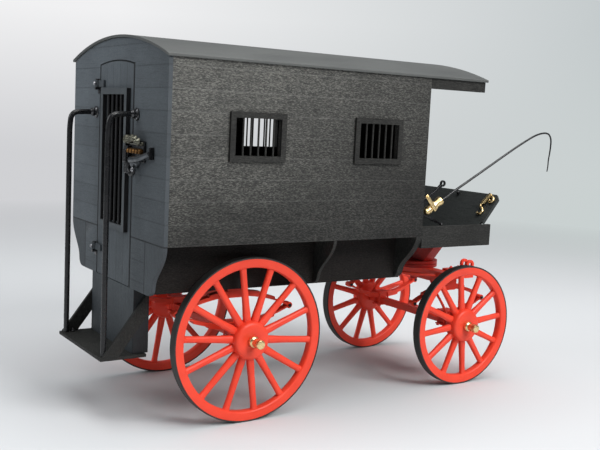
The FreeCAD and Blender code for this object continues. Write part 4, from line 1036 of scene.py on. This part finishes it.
# ---- Wheels ---------------------------------------------------------------------------------
# A wheel is a turned hub with tapered spokes let into a one-piece rim, whose inner corners are
# rounded between the spokes. A thin flat black tyre is shrunk on round it.

shade = blank("tyre_black")
spot = shade.add("TexCoord", output="Object")
cloud = shade.noise(spot, 300.0, 4.0, 0.6)
fine = shade.noise(spot, 2400.0, 3.0)
tone = shade.mix(cloud.between(0.35, 0.7), (0.014, 0.014, 0.013), (0.032, 0.031, 0.029))
tyre_rough = cloud.between(0.3, 0.7, 0.55, 0.72)
tyre_black = finish("tyre_black", tone, tyre_rough, [(fine, 0.25, 0.00008)])

HUB = [
    (-0.0054, 0.0060), (-0.0054, 0.0092), (-0.0051, 0.0102), (-0.0042, 0.0113),
    (-0.0030, 0.0117), (0.0034, 0.0117), (0.0046, 0.0115), (0.0054, 0.0109),
    (0.0058, 0.0099), (0.0058, 0.0050), (0.0056, 0.0046), (0.0056, 0.0030),
]
TYRE_THICK = 0.0009
RIM_DEEP = 0.0055
SPOKE_FOOT = 0.0100
SPOKE_LET_IN = 0.0006
SPOKE_ROUND = 0.80
SPOKE_FLAT = 0.86


def wheel(end, spokes, turned_by):
    """A pair of wheels about an axle along Y. turned_by gives each one's turn in degrees."""
    low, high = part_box(f"tyre_{end}_right")
    radius = (high.z - low.z) / 2
    outer = radius - TYRE_THICK
    inner = outer - RIM_DEEP
    rim = turned("rim", [
        (-0.0030, outer), (-0.0030, inner + 0.0010), (-0.0027, inner + 0.0004),
        (-0.0020, inner), (0.0020, inner), (0.0027, inner + 0.0004),
        (0.0030, inner + 0.0010), (0.0030, outer),
    ], 112, closed=True)
    run = inner + SPOKE_LET_IN - SPOKE_FOOT
    taper = [
        (0, 0.00250), (0.16, 0.00248), (0.34, 0.00222), (0.70, 0.00204), (0.90, 0.00204),
        (0.97, 0.00220), (1, 0.00250),
    ]
    spoke = turned("spoke", [(SPOKE_FOOT + share * run, thick) for share, thick in taper], 16)
    for point in spoke.data.vertices:
        reach = math.hypot(point.co.x, point.co.y)
        square = max(abs(point.co.x), abs(point.co.y)) / reach
        squared = SPOKE_ROUND + (1 - SPOKE_ROUND) / square
        point.co.x *= squared
        point.co.y *= SPOKE_FLAT * squared
    turns = [Matrix.Rotation(2 * math.pi * n / spokes, 4, "Y") for n in range(spokes)]
    spoke_set = repeat("spoke_set", spoke, turns)
    hub = turned("hub", HUB, 56)
    for piece in (rim, hub):
        piece.data.transform(FACING["-Y"])
    red_wheel = joined(f"pattern_{end}", rim, spoke_set, hub)
    dress(red_wheel, red_enamel)
    band = turned(f"band_{end}", [
        (-0.0032, outer), (-0.0032, radius - 0.0002), (-0.0030, radius), (0.0030, radius),
        (0.0032, radius - 0.0002), (0.0032, outer),
    ], 144, closed=True)
    band.data.transform(FACING["-Y"])
    for side, turn in (("right", 0), ("left", math.pi)):
        low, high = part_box(f"tyre_{end}_{side}")
        phase = Matrix.Rotation(math.radians(turned_by[side]), 4, "Y")
        place = Matrix.Translation((low + high) / 2) @ phase @ Matrix.Rotation(turn, 4, "Z")
        for pattern, kind, material in (
            (red_wheel, "wheel", red_enamel),
            (band, "tyre", tyre_black),
        ):
            node = f"{kind}_{end}_{side}"
            copy = bpy.data.objects.new(f"{node}_made", pattern.data.copy())
            bpy.context.scene.collection.objects.link(copy)
            copy.data.transform(place)
            fixed_on(copy, material, home[node])
            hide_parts(node)
    bpy.data.objects.remove(red_wheel)
    bpy.data.objects.remove(band)


wheel("rear", 14, {"right": -7.5, "left": 9.0})
wheel("front", 12, {"right": -6.0, "left": -14.0})

# ---- Axles, hub nuts and springs ------------------------------------------------------------------
# The axles are square bars. Full elliptic springs of three leaves sit on them, held down by
# bolts through plates. Brass nuts with a waist and a cap close the hubs.

SPRING_RISE = {"rear": 0.0243, "front": 0.0244}
NUT_LONG = 0.0094
CLIP_X, CLIP_Y, CLIP_DROP = 0.0041, 0.0033, 0.0022
PLATE_X, PLATE_Y = 0.0056, 0.0044
EYE_IN, EYE_HALF = 0.0021, 0.0037
nut = turned("nut", [
    (0, 0.0035), (0.0016, 0.0035), (0.0021, 0.0032), (0.0025, 0.0024), (0.0031, 0.0022),
    (0.0036, 0.0025), (0.0040, 0.0029), (0.0085, 0.0029), (0.0092, 0.0027),
    (0.0094, 0.0023), (0.0093, 0.0006),
], 32)
clip_bolt = turned("clip_bolt", [
    (0, 0.0006), (0.0003, 0.0011), (0.0013, 0.0011), (0.0014, 0.0006), (0.0112, 0.0006),
    (0.0113, 0.0011), (0.0123, 0.0011), (0.0126, 0.0006),
], 10)
eye_pin = turned("eye_pin", [
    (0, 0.0009), (0.0004, 0.0012), (0.0008, 0.0009), (0.0066, 0.0009), (0.0070, 0.0012),
    (0.0074, 0.0009),
], 12)
for end, body in (("rear", "wagon"), ("front", "front_gear")):
    low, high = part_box(f"{end}_axle_nuts")
    middle = (low + high) / 2
    spots = [
        at((middle.x, low.y + NUT_LONG, middle.z), "-Y"),
        at((middle.x, high.y - NUT_LONG, middle.z), "+Y"),
    ]
    nuts = repeat(f"{end}_hub_nuts", nut, spots, last=False)
    fixed_on(nuts, brass, body)
    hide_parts(f"{end}_axle_nuts")
    eased(f"{end}_axle", f"{end}_axle_bar", red_enamel, 0.0004)
    axle_low, axle_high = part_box(f"{end}_axle")
    axle_x = (axle_low.x + axle_high.x) / 2
    for side in ("right", "left"):
        eased(f"{end}_spring_{side}", f"{end}_leaves_{side}", red_enamel, 0.0002)
        low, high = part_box(f"{end}_spring_{side}")
        y = (low.y + high.y) / 2
        places = [
            at((axle_x + dx, y + dy, axle_low.z - CLIP_DROP))
            for dx in (-CLIP_X, CLIP_X) for dy in (-CLIP_Y, CLIP_Y)
        ]
        bolts = repeat("clip_bolts", clip_bolt, places, last=False)
        saddle, cap = (
            block(
                name,
                (axle_x - PLATE_X, y - PLATE_Y, bottom),
                (axle_x + PLATE_X, y + PLATE_Y, top),
                0.0003,
            )
            for name, bottom, top in (
                ("saddle", axle_low.z - 0.0010, axle_low.z + 0.0001),
                ("cap", axle_high.z + 0.0040, axle_high.z + 0.0052),
            )
        )
        fixed_on(joined(f"{end}_clips_{side}", bolts, saddle, cap), red_enamel, body)
        eye_places = [
            at((axle_x + dx, y - EYE_HALF, axle_high.z + SPRING_RISE[end] / 2), "+Y")
            for dx in (low.x - axle_x + EYE_IN, high.x - axle_x - EYE_IN)
        ]
        pins = repeat(f"{end}_eye_pins_{side}", eye_pin, eye_places, last=False)
        fixed_on(pins, black_enamel, body)
for pattern in (nut, clip_bolt, eye_pin):
    bpy.data.objects.remove(pattern)

# ---- Front gear -----------------------------------------------------------------------------
# The front axle turns with a cross beam under the driver's floor, on two round plates about a
# king pin. Two arms carry the rings for the shafts, and thin stays brace the gear behind.

for node, name, material in (
    ("gear_beam", "gear_crossbeam", red_enamel),
    ("turntable_lower", "turntable_disc", shaded_red),
    ("turntable_upper", "turntable_crown", shaded_red),
    ("king_pin", "king_bolt", shaded_red),
    ("body_bolster", "bolster", shaded_red),
    ("shaft_arms", "shaft_rings", red_enamel),
):
    eased(node, name, material, 0.0003, segments=3)
low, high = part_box("gear_beam")
middle = (low + high) / 2
stays = []
for side in (-1, 1):
    stays.append(wire("stay", [
        (low.x + 0.001, side * 0.0300, middle.z + 0.0010),
        (low.x - 0.012, side * 0.0270, middle.z + 0.0020),
        (low.x - 0.026, side * 0.0150, middle.z + 0.0028),
        (low.x - 0.029, side * 0.0060, middle.z + 0.0030),
        (low.x - 0.029, 0, middle.z + 0.0030),
    ], 0.0011))
    stays.append(wire("brace", [
        (middle.x - 0.0040, side * 0.0470, 0.0440),
        (middle.x - 0.0050, side * 0.0420, 0.0530),
        (middle.x - 0.0052, side * 0.0300, 0.0640),
        (middle.x - 0.0042, side * 0.0240, low.z + 0.001),
    ], 0.0010))
fixed_on(joined("gear_stays", *stays), red_enamel, "front_gear")
hexagon = turned("gear_bolt", [
    (0, 0.0014), (0.0010, 0.0014), (0.0013, 0.0011), (0.0013, 0.0007), (0.0020, 0.0006),
], 6)
arm_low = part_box("shaft_arms")[0]
places = [
    at((x, side * 0.0300, low.z + 0.0094))
    for side in (-1, 1) for x in (arm_low.x + 0.005, arm_low.x + 0.012)
]
fixed_on(repeat("arm_bolts", hexagon, places), red_enamel, "front_gear")
